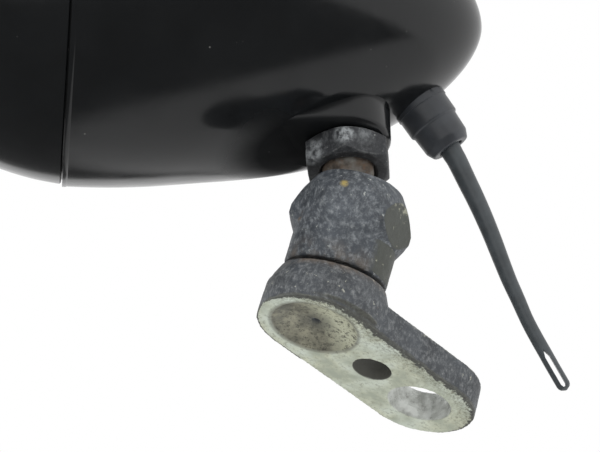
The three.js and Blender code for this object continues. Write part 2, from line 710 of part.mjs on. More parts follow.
function bulbGlass() {
  const root = holderFront + BULB_SEAT - 5.5 - GAP;
  const neck = BULB_CAP_RADIUS - 0.6 - GAP;
  const focus = bowlVertex - REFLECTOR_FOCAL_LENGTH;
  const points = [[neck - BULB_WALL, root], [neck, root], [neck, root - 12]];
  const steps = 6;
  const start = Math.asin(neck / BULB_GLASS_RADIUS) + 0.12;
  const outer = (angle, radius) => [radius * Math.sin(angle), focus + radius * Math.cos(angle)];
  for (let i = 0; i <= steps; i++) {
    points.push(outer(start + ((Math.PI - start) * i) / steps, BULB_GLASS_RADIUS));
  }
  for (let i = steps; i >= 0; i--) {
    points.push(outer(start + ((Math.PI - start) * i) / steps, BULB_GLASS_RADIUS - BULB_WALL));
  }
  points.push([neck - BULB_WALL, root - 12]);
  points.forEach((p) => (p[0] = Math.max(0, p[0])));
  return turned(points, 32);
}

// Glass stem, support wires and filament as one piece.
function filament() {
  const root = holderFront + BULB_SEAT - 5.5 - GAP;
  const focus = bowlVertex - REFLECTOR_FOCAL_LENGTH;
  const stem = turned([[0, root], [3.5, root], [2, root - 8], [2, root - 11], [0, root - 11]], 16);
  const wire = (x) => turned([[0, focus], [0.4, focus], [0.4, root - 10], [0, root - 10]], 8).translate([x, 0, 0]);
  const coil = turned([[0, -2.6], [0.8, -2.6], [0.8, 2.6], [0, 2.6]], 8).rotate([0, 0, 90]).translate([0, focus, 0]);
  return stem.add(wire(-1.6)).add(wire(1.6)).add(coil);
}

// ---------------------------------------------------------------- rim screw, upright at the top of the rim
function rimScrew() {
  const headBottom = BUCKET_RADIUS + MOUTH_BEAD + GAP;
  const foot = SPIGOT_RADIUS - SPIGOT_WALL - RIM_NUT_THICKNESS - 2.5;
  const screw = turnedUpright([
    [0, foot],
    [RIM_SCREW_RADIUS, foot],
    [RIM_SCREW_RADIUS, headBottom],
    [RIM_SCREW_HEAD_RADIUS, headBottom],
    [RIM_SCREW_HEAD_RADIUS, headBottom + 1],
    [RIM_SCREW_HEAD_RADIUS - 1.2, headBottom + 2.4],
    [0, headBottom + 2.9],
  ], SMALL_ROUND);
  const driverSlot = box(2 * RIM_SCREW_HEAD_RADIUS + 2, 1, 2.4).translate([0, 0, headBottom + 2.9]);
  return screw.subtract(driverSlot).translate([0, RIM_SCREW_STATION, 0]);
}

function rimNut() {
  const top = SPIGOT_RADIUS - SPIGOT_WALL - 0.45 - GAP;
  const hole = cylinderUpright(RIM_SCREW_RADIUS + GAP, top - RIM_NUT_THICKNESS - 1, top + 1, 16);
  return box(RIM_NUT_WIDTH, RIM_NUT_WIDTH, RIM_NUT_THICKNESS)
    .translate([0, 0, top - RIM_NUT_THICKNESS / 2])
    .subtract(hole)
    .translate([0, RIM_SCREW_STATION, 0]);
}

// ---------------------------------------------------------------- cable boot, in the stud's frame
// The boot is made upright, with its seat at zero and its mouth at the top.
function cableBoot() {
  const profile = [
    [BOOT_BORE_RADIUS, -9],
    [BOOT_PLUG_RADIUS, -9],
    [BOOT_PLUG_RADIUS, GAP],
    [BOOT_BASE_RADIUS, GAP],
    [BOOT_BASE_RADIUS - 0.3, BOOT_LENGTH * 0.42],
    [BOOT_BASE_RADIUS - 0.8, BOOT_LENGTH * 0.46],
    [BOOT_TIP_RADIUS, BOOT_LENGTH - 2.4],
    [BOOT_TIP_RADIUS - 2, BOOT_LENGTH],
    [BOOT_BORE_RADIUS, BOOT_LENGTH],
  ];
  const skirtProfile = [
    [BOOT_BORE_RADIUS, -12],
    [BOOT_BASE_RADIUS, -12],
    [BOOT_BASE_RADIUS, 1],
    [BOOT_BORE_RADIUS, 1],
  ];
  const placed = bootPlacement(turnedUpright(profile, 32));
  const skirt = bootPlacement(turnedUpright(skirtProfile, 32));
  const outer = onLampAxis(bulletBody(BUCKET_RADIUS + GAP, BUCKET_LENGTH + GAP, 0));
  return placed.add(skirt.subtract(outer));
}

// ---------------------------------------------------------------- wiring inside the bucket, on the lamp's axis
// Puts a body, made straight below the axis, round to the connector's side.
function atConnector(body) {
  return body.rotate([0, CONNECTOR_SIDE_TURN, 0]);
}

function snapConnector() {
  const end = CONNECTOR_STATION + CONNECTOR_LENGTH;
  const sleeve = turned([
    [0, CONNECTOR_STATION + 4],
    [CONNECTOR_RADIUS - 1, CONNECTOR_STATION + 4],
    [CONNECTOR_RADIUS - 1, CONNECTOR_STATION],
    [CONNECTOR_RADIUS, CONNECTOR_STATION],
    [CONNECTOR_RADIUS, end],
    [0, end],
  ], SMALL_ROUND);
  return atConnector(sleeve.translate([0, 0, -CONNECTOR_AXIS_RADIUS]));
}

// Saddle welded to the bucket's wall that grips the connector.
function connectorClip() {
  const length = 7;
  const middle = CONNECTOR_STATION + CONNECTOR_LENGTH / 2;
  const block = box(2 * CONNECTOR_RADIUS + 3.2, length, 12).translate([0, middle, -CONNECTOR_AXIS_RADIUS - 6.5 + CONNECTOR_RADIUS]);
  const bed = turned([[0, 0], [CONNECTOR_RADIUS + GAP, 0], [CONNECTOR_RADIUS + GAP, BUCKET_LENGTH], [0, BUCKET_LENGTH]], SMALL_ROUND);
  const wall = bulletBody(BUCKET_RADIUS - BUCKET_WALL - GAP, BUCKET_LENGTH - 2, 0);
  return atConnector(block.subtract(bed.translate([0, 0, -CONNECTOR_AXIS_RADIUS]))).intersect(wall);
}

// Cable from inside the boot to the connector.
function innerCable() {
  const seat = bootSeat();
  const inwards = new THREE.Vector3(0, 0, 1)
    .applyEuler(new THREE.Euler(radians(BOOT_TILT), 0, 0))
    .applyAxisAngle(new THREE.Vector3(0, 1, 0), radians(BOOT_SIDE_TURN));
  const turn = radians(CONNECTOR_SIDE_TURN);
  const radius = CONNECTOR_AXIS_RADIUS;
  const connector = (station) => [-Math.sin(turn) * radius, station, -Math.cos(turn) * radius];
  const fromSeat = (depth) => [
    seat[0] + inwards.x * depth,
    seat[1] + STUD_STATION + inwards.y * depth,
    seat[2] - LAMP_AXIS_HEIGHT + inwards.z * depth,
  ];
  const connectorEnd = CONNECTOR_STATION + CONNECTOR_LENGTH + GAP;
  const route = [
    fromSeat(-BOOT_LENGTH + 6),
    fromSeat(0),
    fromSeat(8),
    fromSeat(15),
    [-16, 94, -18],
    [-24, 82, -27],
    connector(connectorEnd + 6),
    connector(connectorEnd),
  ];
  return swept(route, LEAD_RADIUS, 8, 2);
}

// ---------------------------------------------------------------- assembly
const lamp = new THREE.Group();
const socketFrame = new THREE.Group();
socketFrame.position.set(...SOCKET_FOOT);
socketFrame.rotation.y = radians(SOCKET_LEAN);
const studFrame = new THREE.Group();
studFrame.position.set(0, 0, BALL_HEIGHT).applyEuler(socketFrame.rotation).add(socketFrame.position);
studFrame.rotation.x = radians(LAMP_DIP);
const lampAxis = new THREE.Group();
lampAxis.position.set(0, -STUD_STATION, LAMP_AXIS_HEIGHT);
lamp.add(socketFrame, studFrame);
studFrame.add(lampAxis);

piece(lamp, "bracket_arm", bracketArm(), "bare_casting");
piece(socketFrame, "spring_washer", springWasher(), "zinc_steel");
piece(socketFrame, "lower_seat", lowerSeat(), "fibre");
piece(socketFrame, "cap_nut", capNut(), "worn_black");

piece(studFrame, "ball_stud", ballStud(), "rusty_steel");
piece(studFrame, "jam_nut", jamNut(), "worn_black");
piece(studFrame, "bucket_shell", bucketShell(), "gloss_black");
piece(studFrame, "stud_block", studBlock(), "zinc_steel");
piece(studFrame, "cable_boot", cableBoot(), "black_rubber");

piece(lampAxis, "rim", rim(), "gloss_black");
piece(lampAxis, "lens_gasket", lensGasket(), "black_rubber");
piece(lampAxis, "lens", lens(), "clear_glass");
piece(lampAxis, "reflector", reflector(), "silvered");
for (let i = 0; i < CLIP_COUNT; i++) {
  piece(lampAxis, `rim_clip_${i + 1}`, rimClip(45 + (360 / CLIP_COUNT) * i), "zinc_steel");
}
piece(lampAxis, "rim_screw", rimScrew(), "zinc_steel");
piece(lampAxis, "rim_nut", rimNut(), "zinc_steel");
piece(lampAxis, "bulb_holder", bulbHolder(), "brass");
piece(lampAxis, "contact_disc", contactDisc(), "bakelite");
piece(lampAxis, "contact_spring", contactSpring(), "zinc_steel");
contactOffsets.forEach((x, i) => {
  piece(lampAxis, `contact_pin_${i + 1}`, contactRod(x, CONTACT_PIN_RADIUS), "brass");
});
piece(lampAxis, "bulb_cap", bulbCap(), "brass");
piece(lampAxis, "bulb_glass", bulbGlass(), "clear_glass");
piece(lampAxis, "filament", filament(), "zinc_steel");

piece(lampAxis, "snap_connector", snapConnector(), "black_rubber");
piece(lampAxis, "connector_clip", connectorClip(), "zinc_steel");
piece(lampAxis, "inner_cable", innerCable(), "black_rubber");
piece(lamp, "cable_sleeve", swept(SLEEVE_ROUTE, SLEEVE_RADIUS, 8), "black_rubber");

export default lamp;
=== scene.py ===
import math

import bmesh
import bpy
from mathutils import Matrix, Vector


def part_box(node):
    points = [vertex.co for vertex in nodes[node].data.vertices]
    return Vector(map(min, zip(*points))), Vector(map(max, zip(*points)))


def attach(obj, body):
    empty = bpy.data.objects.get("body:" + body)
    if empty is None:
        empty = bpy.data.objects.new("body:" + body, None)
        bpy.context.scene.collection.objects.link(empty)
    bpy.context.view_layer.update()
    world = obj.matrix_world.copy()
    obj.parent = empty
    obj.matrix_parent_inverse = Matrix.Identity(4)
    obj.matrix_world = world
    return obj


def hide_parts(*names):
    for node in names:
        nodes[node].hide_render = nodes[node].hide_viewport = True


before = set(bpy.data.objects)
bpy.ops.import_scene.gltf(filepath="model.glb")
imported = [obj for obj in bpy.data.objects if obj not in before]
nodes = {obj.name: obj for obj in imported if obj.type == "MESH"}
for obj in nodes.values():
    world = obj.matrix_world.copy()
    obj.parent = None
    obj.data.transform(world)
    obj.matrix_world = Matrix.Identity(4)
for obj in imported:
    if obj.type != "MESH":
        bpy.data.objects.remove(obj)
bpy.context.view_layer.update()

MM = 0.001

# ---------------------------------------------------------------- sizes, in millimetres
GAP = 0.3
SOCKET_FOOT = Vector((18.4, -25.6, 0))
SOCKET_LEAN = 11
BALL_HEIGHT = 35.6
BALL_RADIUS = 11.2
LAMP_DIP = 15.2
LAMP_AXIS_HEIGHT = 77.6
STUD_STATION = 87.7

BUCKET_RADIUS = 58.8
BUCKET_LENGTH = 133
BUCKET_WALL = 1.5
BUCKET_FULLNESS = 1.72

# The skin swells towards the foot on its far side, between these stations.
SWELL = 4.0
SWELL_FROM = 34
SWELL_TO = 106

FOOT_HALF_WIDTH = 15
FOOT_REAR_CENTRE = -1.3
FOOT_NOSE = 31
FOOT_SEAT = 28.6
FOOT_TOP = 46
FOOT_EDGE = 2.2
FOOT_DRAFT = 0.93
FOOT_WALL = 1.6
STUD_HOLE_RADIUS = 8.3
LEAD_HOLE_RADIUS = 5.5

# The rim's screw stands in a slot at the top of the bucket's mouth.
SCREW_STATION = 4.5
SLOT_HALF_WIDTH = 2.3
SLOT_FROM = 50
SLOT_TO = 66

RIM_LENGTH = 30.5
RIM_REAR_RADIUS = 58.1
RIM_OPENING_RADIUS = 46.5
SPIGOT_RADIUS = BUCKET_RADIUS - BUCKET_WALL - GAP - 0.25
SPIGOT_WALL = 1.3
LENS_RADIUS = 49.4
LENS_BULGE = 8
LENS_THICKNESS = 2.6
FLUTE_PITCH = 6.2
FLUTE_DEPTH = 0.75
LIP_FACE = -29.2
LENS_FRONT = -27.1
REFLECTOR_FRONT = -23.8
BOWL_RADIUS = 46
BOWL_HOLE_RADIUS = 11.8
FOCAL_LENGTH = 18
BOWL_VERTEX = REFLECTOR_FRONT + BOWL_RADIUS**2 / (4 * FOCAL_LENGTH)
BULB_RADIUS = 11.5
BULB_INNER_RADIUS = 10.8
BULB_NECK_RADIUS = 6.6

BOOT_STATION = 113
BOOT_SIDE_TURN = 13
BOOT_TILT = 35
BOOT_LENGTH = 17
BOOT_BORE = 2.9

NUT_FLATS = 25.0
NUT_TURN = -13
NUT_BOTTOM = 18.9
NUT_TOP = NUT_BOTTOM + 9.4
NECK_RADIUS = 5.6
STUD_RADIUS = 8
STUD_SHOULDER = 18.2
STUD_END = 45

CAP_FLATS = 33
CAP_TURN = 29
CAP_FOOT = 18.1
CAP_HEXAGON_FROM = 28.9
CAP_TOP = 48.2

ARM_TURN = 36
ARM_THICKNESS = 10
ARM_END_RADIUS = 17.5
ARM_SOCKET_END_AT = -33.8
ARM_SMALL_HOLE_AT = -8.7
ARM_LARGE_HOLE_AT = 12.6
SMALL_HOLE_RADIUS = 6
LARGE_HOLE_RADIUS = 9.9
DISH_RADIUS = 13.6

# The sleeve's middle line, from the boot's mouth to its open end.
SLEEVE_ROUTE = [
    (15.8, -2.1, 79.9),
    (15.2, -0.3, 78.1),
    (14.6, 1.6, 76.3),
    (12.7, 6.3, 71.2),
    (11.0, 10.7, 66.4),
    (9.1, 15.2, 61.2),
    (7.1, 19.4, 56.1),
    (5.1, 23.4, 51.0),
    (3.2, 27.5, 45.8),
    (1.3, 31.9, 40.8),
    (-0.6, 36.2, 35.8),
    (-2.1, 40.3, 31.6),
    (-3.4, 44.3, 27.7),
    (-4.7, 48.3, 23.8),
    (-6.4, 53.7, 18.7),
]
SLEEVE_START_RADIUS = 3.55
SLEEVE_TAPER = 1.35
EYE_HALF_WIDTH = 0.75
# The direction that the eye runs through it.
EYE_AXIS = (0.85, 0.02, -0.53)

# ---------------------------------------------------------------- frames of the assembly
SOCKET = Matrix.Translation(SOCKET_FOOT) @ Matrix.Rotation(math.radians(SOCKET_LEAN), 4, "Y")
BALL = SOCKET @ Vector((0, 0, BALL_HEIGHT))
STUD = Matrix.Translation(BALL) @ Matrix.Rotation(math.radians(LAMP_DIP), 4, "X")
LAMP = STUD @ Matrix.Translation((0, -STUD_STATION, LAMP_AXIS_HEIGHT))
SCREW = LAMP @ Matrix.Translation((0, SCREW_STATION, 0))
LEVEL = Matrix.Identity(4)
SOCKET_AXIS = tuple(SOCKET.to_3x3() @ Vector((0, 0, 1)))
STUD_AXIS = tuple(STUD.to_3x3() @ Vector((0, 0, 1)))
# Turns a body made about Z into one about Y, with its heights along +Y.
ALONG_Y = Matrix.Rotation(math.radians(-90), 4, "X")


def bullet_radius(station, radius=BUCKET_RADIUS, length=BUCKET_LENGTH):
    share = min(1, max(0, station / length))
    return radius * (1 - share * share) ** (1 / BUCKET_FULLNESS)


def boot_place():
    radius = bullet_radius(BOOT_STATION)
    turn = math.radians(BOOT_SIDE_TURN)
    seat = Vector((
        -math.sin(turn) * radius,
        BOOT_STATION - STUD_STATION,
        LAMP_AXIS_HEIGHT - math.cos(turn) * radius,
    ))
    spin = Matrix.Rotation(turn, 4, "Y") @ Matrix.Rotation(math.radians(BOOT_TILT - 180), 4, "X")
    return STUD @ Matrix.Translation(seat) @ spin


BOOT = boot_place()


# ---------------------------------------------------------------- camera
CAMERA_PLACE = (0.5606, -0.0245, -0.3049)
CAMERA_RIGHT = (0.12708, 0.96040, 0.24795)
CAMERA_UP = (0.51505, -0.27752, 0.81099)
CAMERA_BACK = (0.84769, 0.02464, -0.52992)
CAMERA_LENS = 124.8


def look():
    data = bpy.data.cameras.new("camera")
    data.sensor_width = 36
    data.lens = CAMERA_LENS
    data.clip_start = 0.01
    data.clip_end = 50
    camera = bpy.data.objects.new("camera", data)
    turn = Matrix((CAMERA_RIGHT, CAMERA_UP, CAMERA_BACK)).transposed().to_4x4()
    camera.matrix_world = Matrix.Translation(CAMERA_PLACE) @ turn
    bpy.context.scene.collection.objects.link(camera)
    bpy.context.scene.camera = camera
    bpy.context.scene.view_settings.view_transform = "Standard"


look()


# ---------------------------------------------------------------- mesh tools
def new_object(name, mesh):
    obj = bpy.data.objects.new(name, mesh)
    bpy.context.scene.collection.objects.link(obj)
    return obj


def from_bmesh(name, bm, place):
    """Makes an object of a bmesh in millimetres, put in place in the row frame."""
    bmesh.ops.recalc_face_normals(bm, faces=bm.faces)
    bm.transform(Matrix.Scale(MM, 4) @ place)
    mesh = bpy.data.meshes.new(name)
    bm.to_mesh(mesh)
    bm.free()
    return new_object(name, mesh)


def smooth(obj, angle=35):
    obj.data.shade_smooth()
    obj.data.set_sharp_from_angle(angle=math.radians(angle))
    return obj


def rounded(points, steps=4):
    """Rounds a profile's corners: each point is (radius, height) or (radius, height, fillet)."""
    out = []
    count = len(points)
    for i, point in enumerate(points):
        corner = Vector(point[:2])
        fillet = point[2] if len(point) > 2 else 0
        if not fillet or i in (0, count - 1):
            out.append(tuple(corner))
            continue
        before = Vector(points[i - 1][:2]) - corner
        after = Vector(points[i + 1][:2]) - corner
        reach = min(fillet, before.length * 0.48, after.length * 0.48)
        start = corner + before.normalized() * reach
        end = corner + after.normalized() * reach
        for k in range(steps + 1):
            t = k / steps
            out.append(tuple((1 - t) ** 2 * start + 2 * t * (1 - t) * corner + t**2 * end))
    return out


def lathe(name, profile, place, segments=128, closed=True):
    """A body of revolution about Z. A closed profile is joined last point to first."""
    bm = bmesh.new()
    rings = []
    for radius, height in profile:
        if radius < 1e-6:
            rings.append([bm.verts.new((0, 0, height))])
            continue
        ring = []
        for i in range(segments):
            angle = 2 * math.pi * i / segments
            ring.append(bm.verts.new((radius * math.cos(angle), radius * math.sin(angle), height)))
        rings.append(ring)
    pairs = list(zip(rings, rings[1:]))
    if closed:
        pairs.append((rings[-1], rings[0]))
    for low, high in pairs:
        for i in range(segments):
            j = (i + 1) % segments
            if len(low) == 1 and len(high) == 1:
                break
            if len(low) == 1:
                bm.faces.new((low[0], high[j], high[i]))
            elif len(high) == 1:
                bm.faces.new((low[i], low[j], high[0]))
            else:
                bm.faces.new((low[i], low[j], high[j], high[i]))
    return from_bmesh(name, bm, place)


def prism(name, outline, bottom, top, place):
    """An upright body of an outline of (x, y) points."""
    bm = bmesh.new()
    low = [bm.verts.new((x, y, bottom)) for x, y in outline]
    high = [bm.verts.new((x, y, top)) for x, y in outline]
    bm.faces.new(low[::-1])
    bm.faces.new(high)
    for i in range(len(outline)):
        j = (i + 1) % len(outline)
        bm.faces.new((low[i], low[j], high[j], high[i]))
    return from_bmesh(name, bm, place)


def loft(name, outlines, place):
    """Joins outlines of (x, y, z) points, bottom to top, into one closed body."""
    bm = bmesh.new()
    rings = [[bm.verts.new(p) for p in outline] for outline in outlines]
    for low, high in zip(rings, rings[1:]):
        for i in range(len(low)):
            j = (i + 1) % len(low)
            bm.faces.new((low[i], low[j], high[j], high[i]))
    bm.faces.new(rings[0][::-1])
    bm.faces.new(rings[-1])
    return from_bmesh(name, bm, place)


def cylinder(radius, bottom, top, place, segments=64):
    profile = [(0, bottom), (radius, bottom), (radius, top), (0, top)]
    return lathe("cutter", profile, place, segments, closed=False)


def box(low, high, place):
    corners = [(low[0], low[1]), (high[0], low[1]), (high[0], high[1]), (low[0], high[1])]
    return prism("cutter", corners, low[2], high[2], place)


def hexagon(across_flats, turn):
    """A regular hexagon with a corner at the given turn in degrees."""
    corner = across_flats / math.sqrt(3)
    angles = [math.radians(60 * i + turn) for i in range(6)]
    return [(corner * math.cos(a), corner * math.sin(a)) for a in angles]


def bake(obj):
    """Applies the modifiers of an object to its mesh."""
    mesh = bpy.data.meshes.new_from_object(obj.evaluated_get(bpy.context.evaluated_depsgraph_get()))
    obj.modifiers.clear()
    old = obj.data
    obj.data = mesh
    bpy.data.meshes.remove(old)
    return obj


def combine(obj, other, how):
    """Adds, cuts or keeps the common part of another object, which is used up."""
    modifier = obj.modifiers.new("combine", "BOOLEAN")
    modifier.operation = how
    modifier.solver = "EXACT"
    modifier.object = other
    bpy.context.view_layer.update()
    bake(obj)
    bpy.data.objects.remove(other)
    return obj


def cast(obj, voxel, rounds, push=None):
    """Rebuilds a body on a fine even grid and softens its edges as a casting or forging has them."""
    remesh = obj.modifiers.new("remesh", "REMESH")
    remesh.mode = "VOXEL"
    remesh.voxel_size = voxel * MM
    soften = obj.modifiers.new("soften", "SMOOTH")
    soften.factor = 0.5
    soften.iterations = rounds
    if push:
        scale, depth = push
        texture = bpy.data.textures.new(obj.name, "CLOUDS")
        texture.noise_scale = scale * MM
        texture.noise_depth = 3
        displace = obj.modifiers.new("rough", "DISPLACE")
        displace.texture = texture
        displace.strength = depth * MM
        displace.mid_level = 0.5
    bpy.context.view_layer.update()
    bake(obj)
    obj.data.shade_smooth()
    return obj


# ---------------------------------------------------------------- material tools
class Paint:
    """A material under construction. Places are measured in millimetres in the row frame."""

    def __init__(self, name):
        self.material = bpy.data.materials.new(name)
        self.material.use_nodes = True
        self.tree = self.material.node_tree
        self.shader = self.tree.nodes["Principled BSDF"]
        coordinates = self.tree.nodes.new("ShaderNodeTexCoord")
        self.place = self.vector("MULTIPLY", coordinates.outputs["Object"], (1000, 1000, 1000), "Vector")

    def put(self, socket, value):
        if isinstance(value, bpy.types.NodeSocket):
            self.tree.links.new(value, socket)
        else:
            socket.default_value = value

    def put_colour(self, socket, colour):
        self.put(socket, colour if isinstance(colour, bpy.types.NodeSocket) else (*colour, 1))

    def vector(self, operation, a, b, output="Value"):
        """An operation on two places, each a socket or three numbers."""
        node = self.tree.nodes.new("ShaderNodeVectorMath")
        node.operation = operation
        self.put(node.inputs[0], a)
        self.put(node.inputs[1], b)
        return node.outputs[output]

    def noise(self, size, detail=4, rough=0.6, stretch=None):
        """Noise of a feature size in millimetres, 0 to 1."""
        node = self.tree.nodes.new("ShaderNodeTexNoise")
        node.inputs["Scale"].default_value = 1 / size
        node.inputs["Detail"].default_value = detail
        node.inputs["Roughness"].default_value = rough
        source = self.place
        if stretch:
            source = self.vector("MULTIPLY", source, stretch, "Vector")
        self.tree.links.new(source, node.inputs["Vector"])
        return node.outputs["Fac"]

    def cells(self, size):
        """Distance from points scattered about size millimetres apart, as a share of that."""
        node = self.tree.nodes.new("ShaderNodeTexVoronoi")
        node.inputs["Scale"].default_value = 1 / size
        self.tree.links.new(self.place, node.inputs["Vector"])
        return node.outputs["Distance"]

    def math(self, operation, a, b=0.0):
        """Arithmetic held between 0 and 1."""
        node = self.tree.nodes.new("ShaderNodeMath")
        node.operation = operation
        node.use_clamp = True
        self.put(node.inputs[0], a)
        self.put(node.inputs[1], b)
        return node.outputs[0]

    def scale(self, a, b):
        """A product that isn't held between 0 and 1."""
        node = self.tree.nodes.new("ShaderNodeMath")
        node.operation = "MULTIPLY"
        self.put(node.inputs[0], a)
        self.put(node.inputs[1], b)
        return node.outputs[0]

    def between(self, value, low, high, to_low=0.0, to_high=1.0):
        """Maps low..high to to_low..to_high, held at the ends."""
        node = self.tree.nodes.new("ShaderNodeMapRange")
        self.put(node.inputs["Value"], value)
        node.inputs["From Min"].default_value = low
        node.inputs["From Max"].default_value = high
        node.inputs["To Min"].default_value = to_low
        node.inputs["To Max"].default_value = to_high
        return node.outputs["Result"]

    def blend(self, amount, a, b):
        """Mixes two colours."""
        node = self.tree.nodes.new("ShaderNodeMix")
        node.data_type = "RGBA"
        self.put(node.inputs["Factor"], amount)
        self.put_colour(node.inputs["A"], a)
        self.put_colour(node.inputs["B"], b)
        return node.outputs["Result"]

    def edges(self, low=0.5, high=0.56):
        """1 on the outer edges of a finely divided mesh."""
        node = self.tree.nodes.new("ShaderNodeNewGeometry")
        return self.between(node.outputs["Pointiness"], low, high)

    def normal_along(self, direction):
        """How far the surface faces a direction: 1 towards it, -1 away."""
        node = self.tree.nodes.new("ShaderNodeTexCoord")
        return self.vector("DOT_PRODUCT", node.outputs["Normal"], direction)

    def height(self, origin=(0, 0, 0), direction=(0, 0, 1)):
        """Distance in millimetres along a direction."""
        shifted = self.vector("SUBTRACT", self.place, origin, "Vector")
        return self.vector("DOT_PRODUCT", shifted, direction)

    def upright_distance(self, x, y):
        """Distance in millimetres from an upright line."""
        flat = self.vector("MULTIPLY", self.place, (1, 1, 0), "Vector")
        return self.vector("DISTANCE", flat, (x, y, 0))

    def from_arm_edge(self):
        """Distance in millimetres inside the arm's outline, seen from above."""
        along = self.height((0, 0, 0), (*along_arm(1), 0))
        held = self.tree.nodes.new("ShaderNodeClamp")
        held.inputs["Min"].default_value = ARM_SOCKET_END_AT
        held.inputs["Max"].default_value = ARM_LARGE_HOLE_AT
        self.tree.links.new(along, held.inputs["Value"])
        spine = self.vector("MULTIPLY", (*along_arm(1), 0), held.outputs[0], "Vector")
        flat = self.vector("MULTIPLY", self.place, (1, 1, 0), "Vector")
        distance = self.vector("DISTANCE", flat, spine)
        return self.between(distance, 0, ARM_END_RADIUS, ARM_END_RADIUS, 0)

    def spot(self, centre, radius, soft):
        """1 inside a ball round a point."""
        distance = self.vector("DISTANCE", self.place, centre)
        return self.between(distance, radius - soft, radius + soft, 1, 0)

    def finish(self, colour, roughness=0.5, metal=0.0, bump=None, depth=0.1, **constants):
        """Links the colour, roughness and metal, and a bump whose full height is depth millimetres."""
        self.put_colour(self.shader.inputs["Base Color"], colour)
        self.put(self.shader.inputs["Roughness"], roughness)
        self.put(self.shader.inputs["Metallic"], metal)
        for name, value in constants.items():
            self.shader.inputs[name.replace("_", " ")].default_value = value
        if bump is not None:
            node = self.tree.nodes.new("ShaderNodeBump")
            node.inputs["Strength"].default_value = 1
            node.inputs["Distance"].default_value = depth * MM
            self.tree.links.new(bump, node.inputs["Height"])
            self.tree.links.new(node.outputs["Normal"], self.shader.inputs["Normal"])
        return self.material


def along_arm(distance):
    """A place on the arm's middle line, seen from above."""
    turn = math.radians(ARM_TURN)
    return (-math.sin(turn) * distance, math.cos(turn) * distance)


# ---------------------------------------------------------------- materials
def gloss_enamel():
    paint = Paint("gloss_enamel")
    haze = paint.noise(26, 3, 0.55)
    streak = paint.noise(7, 5, 0.65, stretch=(1, 0.25, 1))
    specks = paint.between(paint.cells(5.5), 0.03, 0.06, 1, 0)
    dust = paint.math("MULTIPLY", specks, paint.between(paint.noise(9), 0.5, 0.62))
    deep, faded = (0.0045, 0.005, 0.0055), (0.010, 0.011, 0.012)
    colour = paint.blend(paint.between(haze, 0.35, 0.75, 0, 0.5), deep, faded)
    colour = paint.blend(paint.math("MULTIPLY", dust, 0.7), colour, (0.16, 0.16, 0.15))
    rough = paint.between(streak, 0.3, 0.75, 0.10, 0.24)
    rough = paint.math("ADD", rough, paint.math("MULTIPLY", dust, 0.4))
    # Greasy dirt dulls the foot's seat round the nut.
    up = paint.height(tuple(BALL), STUD_AXIS)
    dirty = paint.spot(tuple(STUD @ Vector((-2, -15, FOOT_SEAT))), 20, 7)
    dirty = paint.math("MULTIPLY", dirty, paint.between(up, FOOT_SEAT + 0.6, FOOT_SEAT + 2, 1, 0))
    rough = paint.math("ADD", rough, paint.math("MULTIPLY", dirty, 0.45))
    shine = paint.between(dirty, 0, 1, 0.42, 0.04)
    paint.put(paint.shader.inputs["Specular IOR Level"], shine)
    return paint.finish(colour, rough, 0, paint.noise(3.5, 2, 0.4), 0.012)


def worn_paint(name, base, light, chip, chip_share, rust, rust_share, edge=1.0, fleck=None):
    """Dark paint on metal with light scuffs, chips down to another colour, and rust."""
    paint = Paint(name)
    mottle = paint.noise(2.2, 8, 0.78)
    broad = paint.noise(11, 3, 0.5)
    scratch = paint.noise(0.6, 4, 0.75, stretch=(1, 0.5, 0.3))
    colour = paint.blend(paint.between(broad, 0.35, 0.7), base, tuple(c * 1.9 for c in base))
    scuff = paint.math("MULTIPLY", paint.between(mottle, 0.44, 0.66), paint.between(scratch, 0.36, 0.60))
    colour = paint.blend(paint.math("MULTIPLY", scuff, 0.85), colour, light)
    chips = paint.between(paint.noise(1.9, 5, 0.72), chip_share, chip_share - 0.03)
    worn = paint.math("MULTIPLY", paint.edges(0.51, 0.56), paint.between(paint.noise(3.2, 4), 0.46, 0.58))
    chips = paint.math("MAXIMUM", chips, paint.math("MULTIPLY", worn, edge))
    colour = paint.blend(paint.math("MULTIPLY", chips, 0.85), colour, chip)
    rusted = paint.between(paint.noise(6.5, 5, 0.65), rust_share, rust_share + 0.08)
    colour = paint.blend(paint.math("MULTIPLY", rusted, 0.6), colour, rust)
    if fleck:
        where, radius, shade = fleck
        broken = paint.between(paint.noise(0.45), 0.34, 0.46)
        mark = paint.math("MULTIPLY", paint.spot(where, radius, 0.5), broken)
        colour = paint.blend(mark, colour, shade)
    rough = paint.between(mottle, 0.3, 0.7, 0.42, 0.75)
    return paint, colour, rough, paint.math("ADD", mottle, paint.math("MULTIPLY", chips, -0.4))


def cap_paint():
    fleck = (tuple(SOCKET @ Vector((15.8, -5.0, 41.8))), 1.1, (0.36, 0.28, 0.09))
    paint, colour, rough, bump = worn_paint(
        "worn_cap", (0.034, 0.039, 0.046), (0.30, 0.32, 0.335), (0.40, 0.42, 0.40), 0.36,
        (0.16, 0.11, 0.065), 0.64, fleck=fleck, edge=0.35)
    up = paint.height(tuple(SOCKET_FOOT), SOCKET_AXIS)
    grime = paint.math("MULTIPLY", paint.between(up, 25, 19), paint.between(paint.noise(5), 0.45, 0.62))
    colour = paint.blend(paint.math("MULTIPLY", grime, 0.35), colour, (0.16, 0.12, 0.08))
    # One flat has an olive coat, chipped along its upper edge.
    coated = paint.between(paint.normal_along((0.49, 0.87, -0.09)), 0.88, 0.94)
    upper = paint.between(up, 38.5, 42, 0.0, 0.13)
    chipped = paint.between(paint.math("ADD", paint.noise(2.0, 6, 0.7), upper), 0.62, 0.68)
    olive = paint.blend(chipped, (0.062, 0.066, 0.054), (0.34, 0.34, 0.26))
    colour = paint.blend(paint.math("MULTIPLY", coated, 0.85), colour, olive)
    return paint.finish(colour, rough, 0.15, bump, 0.16)


